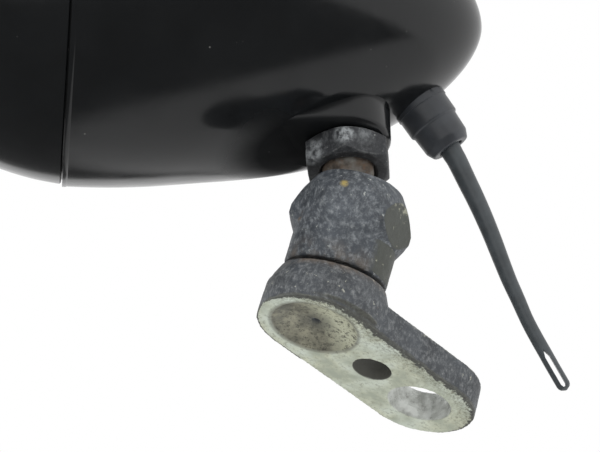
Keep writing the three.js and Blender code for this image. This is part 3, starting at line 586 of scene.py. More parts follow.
def nut_paint():
    paint, colour, rough, bump = worn_paint(
        "worn_nut", (0.014, 0.015, 0.017), (0.11, 0.115, 0.12), (0.36, 0.37, 0.36), 0.35,
        (0.13, 0.075, 0.04), 0.70, edge=0.5)
    # Pale patches, each with its turn in degrees, height, radius and strength.
    for angle, height, radius, amount in ((-13, 24.8, 3.2, 1), (-62, 22.0, 4.0, 0.7), (16, 25.5, 3.2, 0.4)):
        turn = math.radians(angle)
        where = STUD @ Vector((14.2 * math.cos(turn), 14.2 * math.sin(turn), height))
        worn = paint.between(paint.noise(2.4, 5, 0.7), 0.40, 0.62)
        patch = paint.math("MULTIPLY", paint.spot(tuple(where), radius, 1.2), worn)
        colour = paint.blend(paint.math("MULTIPLY", patch, amount), colour, (0.34, 0.36, 0.37))
    return paint.finish(colour, rough, 0.15, bump, 0.12)


def casting():
    paint, dark, rough, bump = worn_paint(
        "arm_casting", (0.031, 0.035, 0.040), (0.27, 0.28, 0.285), (0.42, 0.42, 0.36), 0.35,
        (0.17, 0.10, 0.06), 0.66)
    up = paint.height(tuple(SOCKET_FOOT), SOCKET_AXIS)
    rusted = paint.math("MULTIPLY", paint.between(up, 14, 16.4), paint.between(paint.noise(4), 0.4, 0.6))
    dark = paint.blend(paint.math("MULTIPLY", rusted, 0.45), dark, (0.17, 0.12, 0.08))
    speckle = paint.noise(1.3, 6, 0.75)
    blotch = paint.noise(8, 5, 0.6)
    pale = paint.blend(paint.between(blotch, 0.38, 0.66), (0.33, 0.36, 0.29), (0.54, 0.56, 0.43))
    pale = paint.blend(paint.between(paint.noise(15, 3), 0.45, 0.65), pale, (0.52, 0.57, 0.50))
    grime = paint.math("MULTIPLY", paint.between(speckle, 0.52, 0.60), paint.between(blotch, 0.36, 0.54))
    pale = paint.blend(paint.math("MULTIPLY", grime, 0.45), pale, (0.075, 0.068, 0.048))
    dish = paint.upright_distance(*along_arm(ARM_SOCKET_END_AT))
    # Paint and grime creep over the face's edge, most along its +X side.
    inward = paint.from_arm_edge()
    turn = math.radians(ARM_TURN)
    across = paint.height((0, 0, 0), (math.cos(turn), math.sin(turn), 0))
    width = paint.between(across, -6, 16, 0.5, 3.6)
    ragged = paint.between(paint.noise(2.2, 6, 0.72), 0.36, 0.64, 0.1, 1.0)
    share = paint.math("DIVIDE", inward, paint.between(paint.scale(width, ragged), 0, 8, 0.01, 8.01))
    border = paint.between(share, 0.75, 1.0, 1, 0)
    speckled = paint.math("MULTIPLY", paint.between(inward, 1, 8, 1, 0.15), paint.between(across, -4, 10))
    speckled = paint.math("MULTIPLY", speckled, paint.between(paint.noise(1.0, 6, 0.8), 0.47, 0.56))
    pale = paint.blend(paint.math("MULTIPLY", speckled, 0.85), pale, (0.10, 0.092, 0.065))
    pale = paint.blend(paint.math("MULTIPLY", border, 0.9), pale, (0.045, 0.045, 0.042))
    rim_line = paint.math("MULTIPLY", paint.between(dish, 12.4, 13.2), paint.between(dish, 14.6, 13.7))
    pale = paint.blend(paint.math("MULTIPLY", rim_line, 0.6), pale, (0.11, 0.105, 0.085))
    inside = paint.between(dish, 13.5, 12.9)
    stain = paint.between(paint.noise(5.5, 6, 0.7), 0.38, 0.64)
    brown = paint.blend(stain, (0.065, 0.060, 0.044), (0.24, 0.228, 0.165))
    x, y = along_arm(ARM_SOCKET_END_AT)
    clean = paint.between(paint.height((x, y, 0), (0.55, 0.83, 0)), -1, 7)
    brown = paint.blend(paint.math("MULTIPLY", clean, 0.85), brown, (0.48, 0.49, 0.36))
    brown = paint.blend(paint.between(speckle, 0.50, 0.62), brown, (0.035, 0.032, 0.025))
    brown = paint.blend(paint.between(dish, 6.5, 0.5, 0, 0.85), brown, (0.045, 0.042, 0.036))
    pale = paint.blend(paint.math("MULTIPLY", inside, 0.9), pale, brown)
    # The face's edge is where the paint of the sides starts, broken by wear.
    depth = paint.math("ADD", paint.math("MULTIPLY", paint.between(paint.noise(4, 5), 0.3, 0.7), 0.16), 0.06)
    level = paint.between(paint.height(), 0, 10)
    side = paint.between(paint.normal_along((0, 0, -1)), 0.25, 0.75, 1, 0)
    raised = paint.math("GREATER_THAN", level, paint.math("ADD", depth, 0.24))
    below = paint.between(paint.height(), 3.4, 3.0)
    face = paint.math("MULTIPLY", paint.math("SUBTRACT", 1.0, side), below)
    low_edge = paint.math("LESS_THAN", level, paint.math("MULTIPLY", depth, 0.55))
    face = paint.math("MAXIMUM", face, paint.math("MULTIPLY", low_edge, 0.8))
    colour = paint.blend(face, dark, pale)
    large = paint.upright_distance(*along_arm(ARM_LARGE_HOLE_AT))
    small = paint.upright_distance(*along_arm(ARM_SMALL_HOLE_AT))
    in_large = paint.between(large, LARGE_HOLE_RADIUS + 0.35, LARGE_HOLE_RADIUS + 0.1)
    in_large = paint.math("MULTIPLY", in_large, side)
    in_small = paint.between(small, SMALL_HOLE_RADIUS + 0.4, SMALL_HOLE_RADIUS + 0.1)
    in_small = paint.math("MULTIPLY", in_small, side)
    # The large hole's bore is painted pale. Its colour is partly the bare steel's own tone and partly a
    # painted reflection, with noise patches that are partly rubbed metal and partly painted highlight.
    rubbed_and_highlight = paint.between(paint.noise(4.5, 3), 0.34, 0.62)
    steel_and_reflection = paint.blend(rubbed_and_highlight, (0.33, 0.34, 0.315), (0.68, 0.70, 0.67))
    colour = paint.blend(in_large, colour, steel_and_reflection)
    colour = paint.blend(in_small, colour, (0.10, 0.10, 0.088))
    rough = paint.math("SUBTRACT", rough, paint.math("MULTIPLY", in_large, 0.25))
    metal = paint.math("MULTIPLY", in_large, 0.3)
    # The skin is roughest above the face's edge.
    skin = paint.math("MULTIPLY", bump, paint.between(raised, 0, 1, 0.4, 1))
    return paint.finish(colour, rough, metal, skin, 0.22)


def rusty_steel():
    paint = Paint("rusty_steel")
    patch = paint.noise(3.5, 6, 0.65)
    colour = paint.blend(paint.between(patch, 0.35, 0.6), (0.06, 0.052, 0.045), (0.17, 0.13, 0.10))
    colour = paint.blend(paint.between(paint.noise(2, 5), 0.58, 0.72, 0, 0.7), colour, (0.26, 0.12, 0.06))
    colour = paint.blend(paint.between(paint.noise(6, 3), 0.5, 0.66), colour, (0.24, 0.23, 0.21))
    return paint.finish(colour, paint.between(patch, 0.3, 0.7, 0.55, 0.85), 0.35, patch, 0.12)


def rubber(name, tone):
    paint = Paint(name)
    cloud = paint.noise(7, 4, 0.6)
    dust = paint.noise(1.2, 5, 0.75)
    colour = paint.blend(paint.between(cloud, 0.35, 0.7), tone, tuple(c * 1.6 for c in tone))
    colour = paint.blend(paint.between(dust, 0.62, 0.75, 0, 0.35), colour, (0.09, 0.09, 0.085))
    rough = paint.between(cloud, 0.3, 0.7, 0.30, 0.46)
    return paint.finish(colour, rough, 0, paint.noise(2.5, 3, 0.5), 0.02, Specular_IOR_Level=0.55)


def bare_metal(name, tone, dull, roughness, grain=0.5, stretch=None):
    """Plated, turned or drawn metal with dull patches."""
    paint = Paint(name)
    patch = paint.noise(5, 5, 0.6)
    lines = paint.noise(grain, 3, 0.6, stretch=stretch)
    colour = paint.blend(paint.between(patch, 0.4, 0.7), tone, dull)
    rough = paint.between(lines, 0.3, 0.7, roughness * 0.8, roughness * 1.35)
    return paint.finish(colour, rough, 0.9, lines, 0.02)


def moulded(name, tone, mottled, roughness):
    paint = Paint(name)
    grain = paint.noise(1.1, 5, 0.7)
    colour = paint.blend(paint.between(grain, 0.4, 0.65), tone, mottled)
    rough = paint.between(grain, 0.3, 0.7, roughness * 0.8, roughness * 1.2)
    return paint.finish(colour, rough, 0, grain, 0.03)


def silvered():
    paint = Paint("silvered_bowl")
    haze = paint.noise(14, 4, 0.6)
    colour = paint.blend(paint.between(haze, 0.45, 0.75, 0, 0.5), (0.86, 0.86, 0.85), (0.70, 0.68, 0.62))
    return paint.finish(colour, paint.between(haze, 0.3, 0.8, 0.05, 0.14), 1.0, paint.noise(6, 2), 0.01)


def glass(name, roughness):
    paint = Paint(name)
    dust = paint.noise(10, 5, 0.65)
    colour = paint.blend(paint.between(dust, 0.45, 0.8, 0, 0.5), (0.96, 0.98, 0.98), (0.88, 0.90, 0.88))
    rough = paint.between(dust, 0.4, 0.8, roughness, roughness + 0.08)
    return paint.finish(colour, rough, 0, paint.noise(8, 2), 0.01, Transmission_Weight=1.0, IOR=1.5)


ENAMEL = gloss_enamel()
CAP = cap_paint()
NUT = nut_paint()
CASTING = casting()
RUST = rusty_steel()
BOOT_RUBBER = rubber("boot_rubber", (0.028, 0.031, 0.036))
SLEEVE_RUBBER = rubber("sleeve_rubber", (0.036, 0.042, 0.046))
ZINC = bare_metal("zinc_plate", (0.55, 0.55, 0.53), (0.34, 0.33, 0.30), 0.38)
BRASS = bare_metal("brass", (0.62, 0.46, 0.20), (0.34, 0.25, 0.12), 0.32, 0.4, stretch=(1, 6, 1))
FIBRE = moulded("pressed_fibre", (0.16, 0.055, 0.03), (0.09, 0.035, 0.02), 0.75)
BAKELITE = moulded("bakelite", (0.035, 0.014, 0.009), (0.06, 0.025, 0.014), 0.35)
SILVER = silvered()
GLASS = glass("clear_glass", 0.02)


def dress(obj, material, body, slot, *replaced):
    """Gives a piece its material and body, and names the CAD nodes that it stands for. The slot is not used.
    """
    obj.data.materials.clear()
    obj.data.materials.append(material)
    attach(obj, body)
    if replaced:
        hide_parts(*replaced)
    return obj


# ---------------------------------------------------------------- the sleeve, a free cord
def along_route(points, steps):
    """Points on a smooth curve through the route."""
    ends = [2 * points[0] - points[1]] + points + [2 * points[-1] - points[-2]]
    out = []
    for i in range(1, len(ends) - 2):
        a, b, c, d = ends[i - 1:i + 3]
        for k in range(steps):
            t = k / steps
            out.append(0.5 * (
                2 * b + (c - a) * t + (2 * a - 5 * b + 4 * c - d) * t**2 + (3 * b - a - 3 * c + d) * t**3
            ))
    out.append(points[-1])
    return out


def sleeve():
    """A tapered tube that follows the route, with a long eye near its end."""
    path = along_route([Vector(p) for p in SLEEVE_ROUTE], 12)
    sides = 28
    rings = []
    across = Vector(EYE_AXIS)
    for i, point in enumerate(path):
        share = i / (len(path) - 1)
        radius = SLEEVE_START_RADIUS - SLEEVE_TAPER * min(1, share / 0.7)
        to_end = (path[-1] - point).length
        if to_end < radius:
            radius *= math.sqrt(max(0.02, 1 - (1 - to_end / radius) ** 2))
        ahead = (path[min(i + 1, len(path) - 1)] - path[max(i - 1, 0)]).normalized()
        across = (across - ahead * across.dot(ahead)).normalized()
        other = ahead.cross(across)
        ring = []
        for k in range(sides):
            angle = 2 * math.pi * k / sides
            ring.append(point + radius * (math.cos(angle) * across + math.sin(angle) * other))
        rings.append(ring)
    tube = loft("lead_sleeve", rings, LEVEL)
    start, end = path[-22], path[-1]
    ahead = (end - start).normalized()
    across = Vector(EYE_AXIS)
    across = (across - ahead * across.dot(ahead)).normalized()
    other = ahead.cross(across)
    place = Matrix((other, ahead, across)).transposed().to_4x4()
    place.translation = start
    length = (end - start).length
    outline = [
        (EYE_HALF_WIDTH, 0), (EYE_HALF_WIDTH, length - 2.2), (0.35, length - 1.2),
        (-0.35, length - 1.2), (-EYE_HALF_WIDTH, length - 2.2), (-EYE_HALF_WIDTH, 0), (0, -2.5),
    ]
    eye = prism("cutter", outline, -6, 6, place)
    combine(tube, eye, "DIFFERENCE")
    smooth(tube, 40)
    dress(tube, SLEEVE_RUBBER, "lamp", "black_rubber", "cable_sleeve")


sleeve()


# ---------------------------------------------------------------- bucket
def bullet_profile(radius, length, front, steps=72):
    points = [(0, front), (radius, front)]
    for i in range(steps + 1):
        station = length * math.sin(math.pi / 2 * i / steps)
        points.append((0 if i == steps else bullet_radius(station, radius, length), station))
    return points


def foot_outline(inset, bevel, draft):
    """Round behind the stud and drawn out to a nose ahead of it."""
    half = FOOT_HALF_WIDTH - inset - bevel
    out = []
    steps = 40
    for i in range(2 * steps):
        angle = math.pi * i / steps
        reach = half if angle <= math.pi else FOOT_NOSE - inset - bevel
        out.append((half * draft * math.cos(angle), FOOT_REAR_CENTRE + reach * math.sin(angle)))
    return out


def foot(inset, bottom):
    """The foot's body, from a rounded bottom edge up into the bucket."""
    levels = []
    steps = 6
    for i in range(steps + 1):
        angle = math.pi / 2 * i / steps
        levels.append((bottom + FOOT_EDGE * (1 - math.cos(angle)), FOOT_EDGE * (1 - math.sin(angle)), 1))
    levels.append((FOOT_TOP, 0, FOOT_DRAFT))
    outlines = []
    for height, bevel, draft in levels:
        outlines.append([(x, y, height) for x, y in foot_outline(inset, bevel, draft)])
    return loft("foot", outlines, STUD)


def ease(value, start, end):
    """Rises smoothly from 0 at start to 1 at end."""
    t = min(1, max(0, (value - start) / (end - start)))
    return t * t * (3 - 2 * t)


def swell(skin):
    """Swells the skin a little on the foot's far side, where it is pressed out to meet it."""
    place = Matrix.Scale(MM, 4) @ LAMP
    back = place.inverted()
    for vertex in skin.data.vertices:
        x, station, z = back @ vertex.co
        aside = math.degrees(math.atan2(-x, -z))
        round_foot = ease(aside, -6, 20) - ease(aside, 20, 54)
        along = ease(station, SWELL_FROM, STUD_STATION) * (1 - ease(station, STUD_STATION, SWELL_TO))
        grow = SWELL * max(0, round_foot) * along
        radius = math.hypot(x, z)
        if grow > 0 and radius > 1:
            share = 1 + grow / radius
            vertex.co = place @ Vector((x * share, station, z * share))


def slot_cutter():
    return box((-SLOT_HALF_WIDTH, -1, SLOT_FROM), (SLOT_HALF_WIDTH, SCREW_STATION, SLOT_TO), LAMP)


def screw_hole_cutter():
    return cylinder(SLOT_HALF_WIDTH, SLOT_FROM, SLOT_TO, SCREW, 32)


def bucket():
    skin = bullet_profile(BUCKET_RADIUS, BUCKET_LENGTH, 0)
    shell = lathe("bucket", skin, LAMP @ ALONG_Y, 160, closed=False)
    swell(shell)
    combine(shell, foot(0, FOOT_SEAT), "UNION")
    inside = bullet_profile(BUCKET_RADIUS - BUCKET_WALL, BUCKET_LENGTH - 2, -1, 48)
    combine(shell, lathe("hollow", inside, LAMP @ ALONG_Y, 96, closed=False), "DIFFERENCE")
    combine(shell, foot(FOOT_WALL, FOOT_SEAT + FOOT_WALL), "DIFFERENCE")
    combine(shell, cylinder(STUD_HOLE_RADIUS, FOOT_SEAT - 1, FOOT_SEAT + 4, STUD), "DIFFERENCE")
    combine(shell, combine(slot_cutter(), screw_hole_cutter(), "UNION"), "DIFFERENCE")
    combine(shell, cylinder(LEAD_HOLE_RADIUS, -14, 12, BOOT, 48), "DIFFERENCE")
    smooth(shell, 16)
    dress(shell, ENAMEL, "lamp", "gloss_black", "bucket_shell")
    bead = rounded([
        (BUCKET_RADIUS - 0.4, 0.05), (BUCKET_RADIUS + 0.2, 0.05, 0.15), (BUCKET_RADIUS + 0.2, 1.3, 0.5),
        (BUCKET_RADIUS - 0.4, 2.2),
    ])
    lip = lathe("bucket_bead", bead, LAMP @ ALONG_Y, 160)
    combine(lip, slot_cutter(), "DIFFERENCE")
    smooth(lip, 50)
    dress(lip, ENAMEL, "lamp", "gloss_black")


# ---------------------------------------------------------------- rim, glass and reflector
def rim_radius(ahead):
    """The rim's outer radius at a distance ahead of the seam."""
    return RIM_REAR_RADIUS - 0.07 * ahead - 0.006 * ahead * ahead


def bezel():
    points = [(SPIGOT_RADIUS, -GAP), (rim_radius(GAP) - 0.5, -GAP), (rim_radius(GAP), -GAP - 0.5)]
    steps = 14
    for i in range(1, steps + 1):
        ahead = GAP + (RIM_LENGTH - 2.5 - GAP) * i / steps
        points.append((rim_radius(ahead), -ahead))
    nose = rim_radius(RIM_LENGTH - 2.5)
    points += [
        (nose - 0.35, -RIM_LENGTH + 1.5), (nose - 1.1, -RIM_LENGTH + 0.6), (nose - 2.6, -RIM_LENGTH),
        (RIM_OPENING_RADIUS + 1.4, -RIM_LENGTH), (RIM_OPENING_RADIUS, -RIM_LENGTH, 0.7),
        (RIM_OPENING_RADIUS, LIP_FACE), (LENS_RADIUS + GAP, LIP_FACE), (LENS_RADIUS + 1.4, LIP_FACE + 3),
        (rim_radius(20) - 1.6, -20), (SPIGOT_RADIUS - SPIGOT_WALL, -6), (SPIGOT_RADIUS - SPIGOT_WALL, 9),
        (SPIGOT_RADIUS, 9),
    ]
    obj = lathe("bezel", rounded(points), LAMP @ ALONG_Y, 160)
    combine(obj, screw_hole_cutter(), "DIFFERENCE")
    smooth(obj, 30)
    dress(obj, ENAMEL, "rim", "gloss_black", "rim")


def front_glass():
    """Domed glass with upright flutes on its inner face."""
    bm = bmesh.new()
    rings, segments = 46, 128
    flat_from = RIM_OPENING_RADIUS - 0.6

    def layer(back):
        out = [[bm.verts.new((0, 0, LENS_FRONT - LENS_BULGE + (LENS_THICKNESS if back else 0)))]]
        for i in range(1, rings + 1):
            radius = LENS_RADIUS * i / rings
            ring = []
            for k in range(segments):
                angle = 2 * math.pi * k / segments
                x, y = radius * math.cos(angle), radius * math.sin(angle)
                bulge = LENS_BULGE * max(0, 1 - (radius / flat_from) ** 2)
                z = LENS_FRONT - bulge
                if back:
                    fade = min(1, max(0, (flat_from - 2 - radius) / 3))
                    flute = FLUTE_DEPTH * abs(math.sin(math.pi * x / FLUTE_PITCH))
                    z += LENS_THICKNESS + (0.4 * (1 - fade)) - fade * flute
                ring.append(bm.verts.new((x, y, z)))
            out.append(ring)
        return out

    front, back = layer(False), layer(True)
    for side in (front, back):
        for low, high in zip(side, side[1:]):
            for k in range(segments):
                j = (k + 1) % segments
                if len(low) == 1:
                    bm.faces.new((low[0], high[k], high[j]))
                else:
                    bm.faces.new((low[k], high[k], high[j], low[j]))
    for k in range(segments):
        j = (k + 1) % segments
        bm.faces.new((front[-1][k], back[-1][k], back[-1][j], front[-1][j]))
    obj = from_bmesh("front_glass", bm, LAMP @ ALONG_Y)
    smooth(obj, 40)
    dress(obj, GLASS, "rim", "clear_glass", "lens")


def bowl():
    """A parabola with its focus at the bulb's centre."""
    steps = 28
    points = []
    for i in range(steps + 1):
        radius = BOWL_RADIUS + (BOWL_HOLE_RADIUS - BOWL_RADIUS) * i / steps
        points.append((radius, BOWL_VERTEX - radius**2 / (4 * FOCAL_LENGTH)))
    for radius, height in points[::-1]:
        points.append((radius + (0 if radius == BOWL_HOLE_RADIUS else 0.5), height + 1))
    points += [(LENS_RADIUS - 0.2, REFLECTOR_FRONT + 1), (LENS_RADIUS - 0.2, REFLECTOR_FRONT)]
    obj = lathe("reflector_bowl", points, LAMP @ ALONG_Y, 128)
    smooth(obj, 40)
    dress(obj, SILVER, "rim", "silvered", "reflector")


def bulb_envelope():
    low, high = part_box("bulb_glass")
    focus = BOWL_VERTEX - FOCAL_LENGTH
    # The glass ends where the CAD glass does.
    root = (LAMP.inverted() @ ((low + high) / 2 * 1000)).y * 2 - (focus - BULB_RADIUS)
    start = math.asin(BULB_NECK_RADIUS / BULB_RADIUS) + 0.12
    steps = 20

    def globe(radius):
        out = []
        for i in range(steps + 1):
            angle = start + (math.pi - start) * i / steps
            out.append((radius * math.sin(angle) if i < steps else 0, focus + radius * math.cos(angle)))
        return out

    points = [(BULB_NECK_RADIUS, root), (BULB_NECK_RADIUS, focus + 10.5)]
    points += globe(BULB_RADIUS) + globe(BULB_INNER_RADIUS)[::-1]
    points += [(5.8, focus + 10.5), (5.8, root)]
    obj = lathe("bulb_envelope", points, LAMP @ ALONG_Y, 64)
    smooth(obj, 40)
    dress(obj, GLASS, "bulb", "clear_glass", "bulb_glass")


def slotted_screw():
    head = BUCKET_RADIUS + 0.4 + GAP
    low = SPIGOT_RADIUS - SPIGOT_WALL - 3 - 2.5
    points = [(0, low), (1.6, low), (2, low + 0.5)]
    height = low + 0.5
    while height < head - 1:
        points += [(2, height), (1.72, height + 0.35)]
        height += 0.7
    points += [(2, head), (4.2, head, 0.3), (4.1, head + 1, 0.6), (3, head + 2.4, 1.2), (0, head + 2.9)]
    obj = lathe("slotted_screw", rounded(points), SCREW, 64, closed=False)
    combine(obj, box((-6, 4, head + 1.7), (6, 5, head + 5), LAMP), "DIFFERENCE")
    smooth(obj, 35)
    dress(obj, ZINC, "rim_screw", "zinc_steel", "rim_screw")


# ---------------------------------------------------------------- boot
def lead_boot():
    points = [
        (BOOT_BORE, -9), (5.2, -9), (5.2, -2), (8.9, -2), (8.9, 0.5, 0.4), (8.6, 1.2, 0.4), (8.55, 7.4, 0.4),
        (7.9, 8.0, 0.3), (7.6, 14.4, 0.5), (6.3, BOOT_LENGTH, 0.5), (4.3, BOOT_LENGTH + 0.1, 0.4),
        (3.9, BOOT_LENGTH - 1), (BOOT_BORE, BOOT_LENGTH - 3),
    ]
    obj = lathe("lead_boot", rounded(points), BOOT, 96)
    skirt = lathe("skirt", [(BOOT_BORE, -12), (8.9, -12), (8.9, 1), (BOOT_BORE, 1)], BOOT, 96)
    skin = bullet_profile(BUCKET_RADIUS + 0.05, BUCKET_LENGTH + 0.05, 0, 48)
    combine(skirt, lathe("bullet", skin, LAMP @ ALONG_Y, 128, closed=False), "DIFFERENCE")
    combine(obj, skirt, "UNION")
    smooth(obj, 35)
    dress(obj, BOOT_RUBBER, "lamp", "black_rubber", "cable_boot")


# ---------------------------------------------------------------- joint: nuts, stud and casting
def hex_nut():
    nut = prism("hex_nut", hexagon(NUT_FLATS, NUT_TURN), NUT_BOTTOM, NUT_TOP, STUD)
    inner, outer = NUT_FLATS / 2 - 0.5, NUT_FLATS / 2 + 2.2
    crown = [
        (0, NUT_BOTTOM), (inner, NUT_BOTTOM), (outer, NUT_BOTTOM + 1.7), (outer, NUT_TOP - 1.7),
        (inner, NUT_TOP), (0, NUT_TOP),
    ]
    combine(nut, lathe("crown", crown, STUD, 96, closed=False), "INTERSECT")
    combine(nut, cylinder(STUD_RADIUS + 0.25, NUT_BOTTOM - 1, NUT_TOP + 1, STUD), "DIFFERENCE")
    low, high = NUT_BOTTOM - 0.1, NUT_BOTTOM + 1.3
    cone = [(0, low), (9.4, low), (STUD_RADIUS, high), (0, high)]
    combine(nut, lathe("cone", cone, STUD, 64, closed=False), "DIFFERENCE")
    cast(nut, 0.28, 3, (2.5, 0.14))
    dress(nut, NUT, "jam_nut", "worn_black", "jam_nut")


def ball_pin():
    start = math.acos(NECK_RADIUS / BALL_RADIUS)
    points = [(0, -BALL_RADIUS)]
    for i in range(1, 33):
        angle = -math.pi / 2 + (math.pi / 2 + start) * i / 32
        points.append((BALL_RADIUS * math.cos(angle), BALL_RADIUS * math.sin(angle)))
    points += [
        (NECK_RADIUS + 0.1, 11.5, 0.8), (NECK_RADIUS + 0.5, 15.6, 1), (STUD_RADIUS, STUD_SHOULDER, 0.6),
        (STUD_RADIUS, 29),
    ]
    height = 29
    while height < STUD_END - 1.5:
        points += [(STUD_RADIUS, height + 0.2), (STUD_RADIUS - 0.6, height + 1)]
        height += 1.6
    points += [(STUD_RADIUS - 1.2, STUD_END, 0.4), (0, STUD_END)]
    obj = lathe("ball_pin", rounded(points), STUD, 96, closed=False)
    smooth(obj, 40)
    dress(obj, RUST, "stud", "rusty_steel", "ball_stud")


def socket_cap():
    cap = prism("socket_cap", hexagon(CAP_FLATS, CAP_TURN), CAP_HEXAGON_FROM, CAP_TOP + 0.8, SOCKET)
    crown = rounded([
        (0, CAP_HEXAGON_FROM), (16, CAP_HEXAGON_FROM), (19.1, 34.6), (19.1, 36.9), (16.6, 43, 2),
        (13.5, CAP_TOP, 0.8), (0, CAP_TOP),
    ])
    combine(cap, lathe("crown", crown, SOCKET, 128, closed=False), "INTERSECT")
    skirt = rounded([
        (0, CAP_FOOT), (15.5, CAP_FOOT), (16, CAP_FOOT + 0.5, 0.4), (16, CAP_HEXAGON_FROM + 1),
        (0, CAP_HEXAGON_FROM + 1),
    ])
    combine(cap, lathe("skirt", skirt, SOCKET, 128, closed=False), "UNION")
    sphere = BALL_RADIUS + GAP
    inside = [(0, 17), (13.1, 17), (13.1, 32.1), (sphere, 33.6), (sphere, BALL_HEIGHT)]
    for i in range(1, 9):
        radius = sphere - (sphere - 9.9) * (i / 8) ** 2
        inside.append((radius, BALL_HEIGHT + math.sqrt(max(0, (sphere + 0.001) ** 2 - radius**2))))
    inside += [(12.3, CAP_TOP), (12.3, 50), (0, 50)]
    combine(cap, lathe("inside", inside, SOCKET, 96, closed=False), "DIFFERENCE")
    cast(cap, 0.28, 1, (3.2, 0.22))
    dress(cap, CAP, "cap_nut", "worn_black", "cap_nut")


def arm_outline(grow=0.0):
    far, near = along_arm(ARM_LARGE_HOLE_AT), along_arm(ARM_SOCKET_END_AT)
    out = []
    for centre, start in ((far, 0), (near, 180)):
        for i in range(33):
            angle = math.radians(ARM_TURN + start + 180 * i / 32)
            out.append((
                centre[0] + (ARM_END_RADIUS + grow) * math.cos(angle),
                centre[1] + (ARM_END_RADIUS + grow) * math.sin(angle),
            ))
    return out


def bracket():
    """The arm and the boss of its socket, one casting."""
    arm = prism("arm_and_socket", arm_outline(), 0, ARM_THICKNESS, LEVEL)
    profile = rounded([
        (0, -8), (19.4, -8), (19.4, 6.1), (19.0, 9.5, 2), (18.3, 12.5, 2), (16.9, 15.5, 1.2),
        (16.2, 16.9, 0.7), (12, 16.9), (12, 18.1), (12.8, 19.1), (12.8, 31.8), (0, 31.8),
    ])
    boss = lathe("boss", profile, SOCKET, 128, closed=False)
    limit = prism("limit", arm_outline(0.4), 0, 60, LEVEL)
    combine(limit, cylinder(40, 1.4, 70, Matrix.Translation(SOCKET_FOOT)), "UNION")
    combine(boss, limit, "INTERSECT")
    combine(arm, boss, "UNION")
    combine(arm, cylinder(11.3, 17.3, 40, SOCKET), "DIFFERENCE")
    dish = rounded([
        (0, -1), (DISH_RADIUS, -1), (DISH_RADIUS, 0), (10.9, 1.5, 2), (6.1, 2.4, 2), (1.6, 2.4), (1.0, 3.9),
        (0, 3.9),
    ])
    place = Matrix.Translation((*along_arm(ARM_SOCKET_END_AT), 0))
    combine(arm, lathe("dish", dish, place, 96, closed=False), "DIFFERENCE")
    for at, radius in ((ARM_SMALL_HOLE_AT, SMALL_HOLE_RADIUS), (ARM_LARGE_HOLE_AT, LARGE_HOLE_RADIUS)):
        place = Matrix.Translation((*along_arm(at), 0))
        combine(arm, cylinder(radius, -1, ARM_THICKNESS + 1, place, 96), "DIFFERENCE")
    cast(arm, 0.4, 5, (3.0, 0.2))
    dress(arm, CASTING, "bracket", "bare_casting", "bracket_arm")


# ---------------------------------------------------------------- build
bucket()
bezel()
front_glass()
bowl()
bulb_envelope()
slotted_screw()
lead_boot()
hex_nut()
ball_pin()
socket_cap()
bracket()

# The CAD pieces that are shown as they are.
KEPT = {
    "spring_washer": ZINC, "lower_seat": FIBRE, "stud_block": ZINC, "lens_gasket": BOOT_RUBBER,
    "rim_nut": ZINC, "rim_clip_1": ZINC, "rim_clip_2": ZINC, "rim_clip_3": ZINC, "rim_clip_4": ZINC,
    "bulb_holder": BRASS, "contact_disc": BAKELITE, "contact_spring": ZINC, "contact_pin_1": BRASS,
    "contact_pin_2": BRASS, "bulb_cap": BRASS, "filament": ZINC, "snap_connector": BOOT_RUBBER,
    "connector_clip": ZINC, "inner_cable": BOOT_RUBBER,
}
for name, material in KEPT.items():
    nodes[name].material_slots[0].material = material


# ---------------------------------------------------------------- floor, sky and lamps
FLOOR_HALF = 60000
FLOOR_TOP = -700
ROOM = 0.14
PALE = 0.85
REFLECTOR_SIDE = (-0.535, 0.783, -0.317)
WINDOW_SIDE = (0.9, -0.4, -0.1)


def floor():
    paint = Paint("floor")
    tone = paint.blend(paint.between(paint.noise(300, 2), 0.3, 0.7), (0.88, 0.88, 0.87), (0.92, 0.92, 0.91))
    material = paint.finish(tone, 0.7)
    half = FLOOR_HALF
    corners = [(-half, -half), (half, -half), (half, half), (-half, half)]
    ground = prism("floor", corners, FLOOR_TOP - 1, FLOOR_TOP, LEVEL)
    ground.data.materials.append(material)
    ground.visible_glossy = False


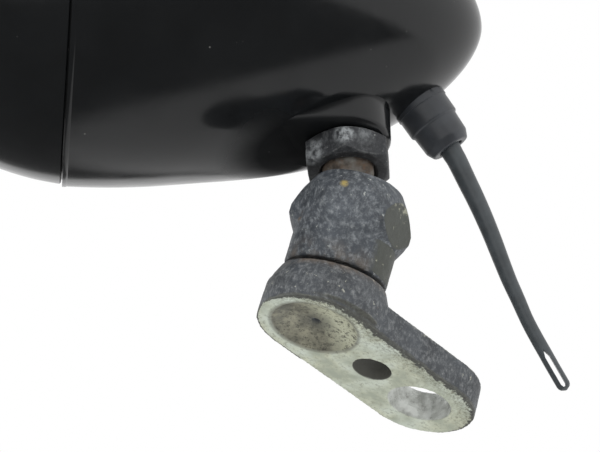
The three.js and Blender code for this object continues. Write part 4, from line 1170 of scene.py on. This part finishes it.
def sky():
    """White overhead. Below is a dim room with a pale reflector and a window, for the gloss to mirror."""
    world = bpy.data.worlds.new("studio")
    bpy.context.scene.world = world
    world.use_nodes = True
    tree = world.node_tree
    direction = tree.nodes.new("ShaderNodeTexCoord").outputs["Generated"]

    def along(axis, low, high, to_low, to_high):
        dot = tree.nodes.new("ShaderNodeVectorMath")
        dot.operation = "DOT_PRODUCT"
        dot.inputs[1].default_value = Vector(axis).normalized()
        tree.links.new(direction, dot.inputs[0])
        level = tree.nodes.new("ShaderNodeMapRange")
        level.interpolation_type = "SMOOTHSTEP"
        level.inputs["From Min"].default_value = low
        level.inputs["From Max"].default_value = high
        level.inputs["To Min"].default_value = to_low
        level.inputs["To Max"].default_value = to_high
        tree.links.new(dot.outputs["Value"], level.inputs["Value"])
        return level.outputs["Result"]

    strength = along((0, 0, 1), -0.06, 0.01, ROOM, 1.0)
    reflector = along(REFLECTOR_SIDE, 0.66, 0.75, ROOM, PALE)
    window = along(WINDOW_SIDE, 0.80, 0.92, ROOM, 1.0)
    # Past the floor's edge the background itself is plain white.
    backdrop = tree.nodes.new("ShaderNodeLightPath").outputs["Is Camera Ray"]
    for part in (reflector, window, backdrop):
        brighter = tree.nodes.new("ShaderNodeMath")
        brighter.operation = "MAXIMUM"
        tree.links.new(strength, brighter.inputs[0])
        tree.links.new(part, brighter.inputs[1])
        strength = brighter.outputs[0]
    tree.links.new(strength, tree.nodes["Background"].inputs["Strength"])
    tree.nodes["Background"].inputs["Color"].default_value = (1, 1, 1, 1)


def area_light(name, where, size, watts):
    data = bpy.data.lights.new(name, "AREA")
    data.shape = "DISK"
    data.size = size
    data.energy = watts
    obj = new_object(name, data)
    obj.location = where
    obj.visible_glossy = False
    obj.rotation_mode = "QUATERNION"
    obj.rotation_quaternion = (Vector((0, 0, 0.05)) - obj.location).to_track_quat("-Z", "Y")


floor()
sky()
area_light("key", (0.9, -0.9, 0.2), 0.5, 5)
area_light("fill", (0.3, 0.9, -0.5), 0.6, 2)
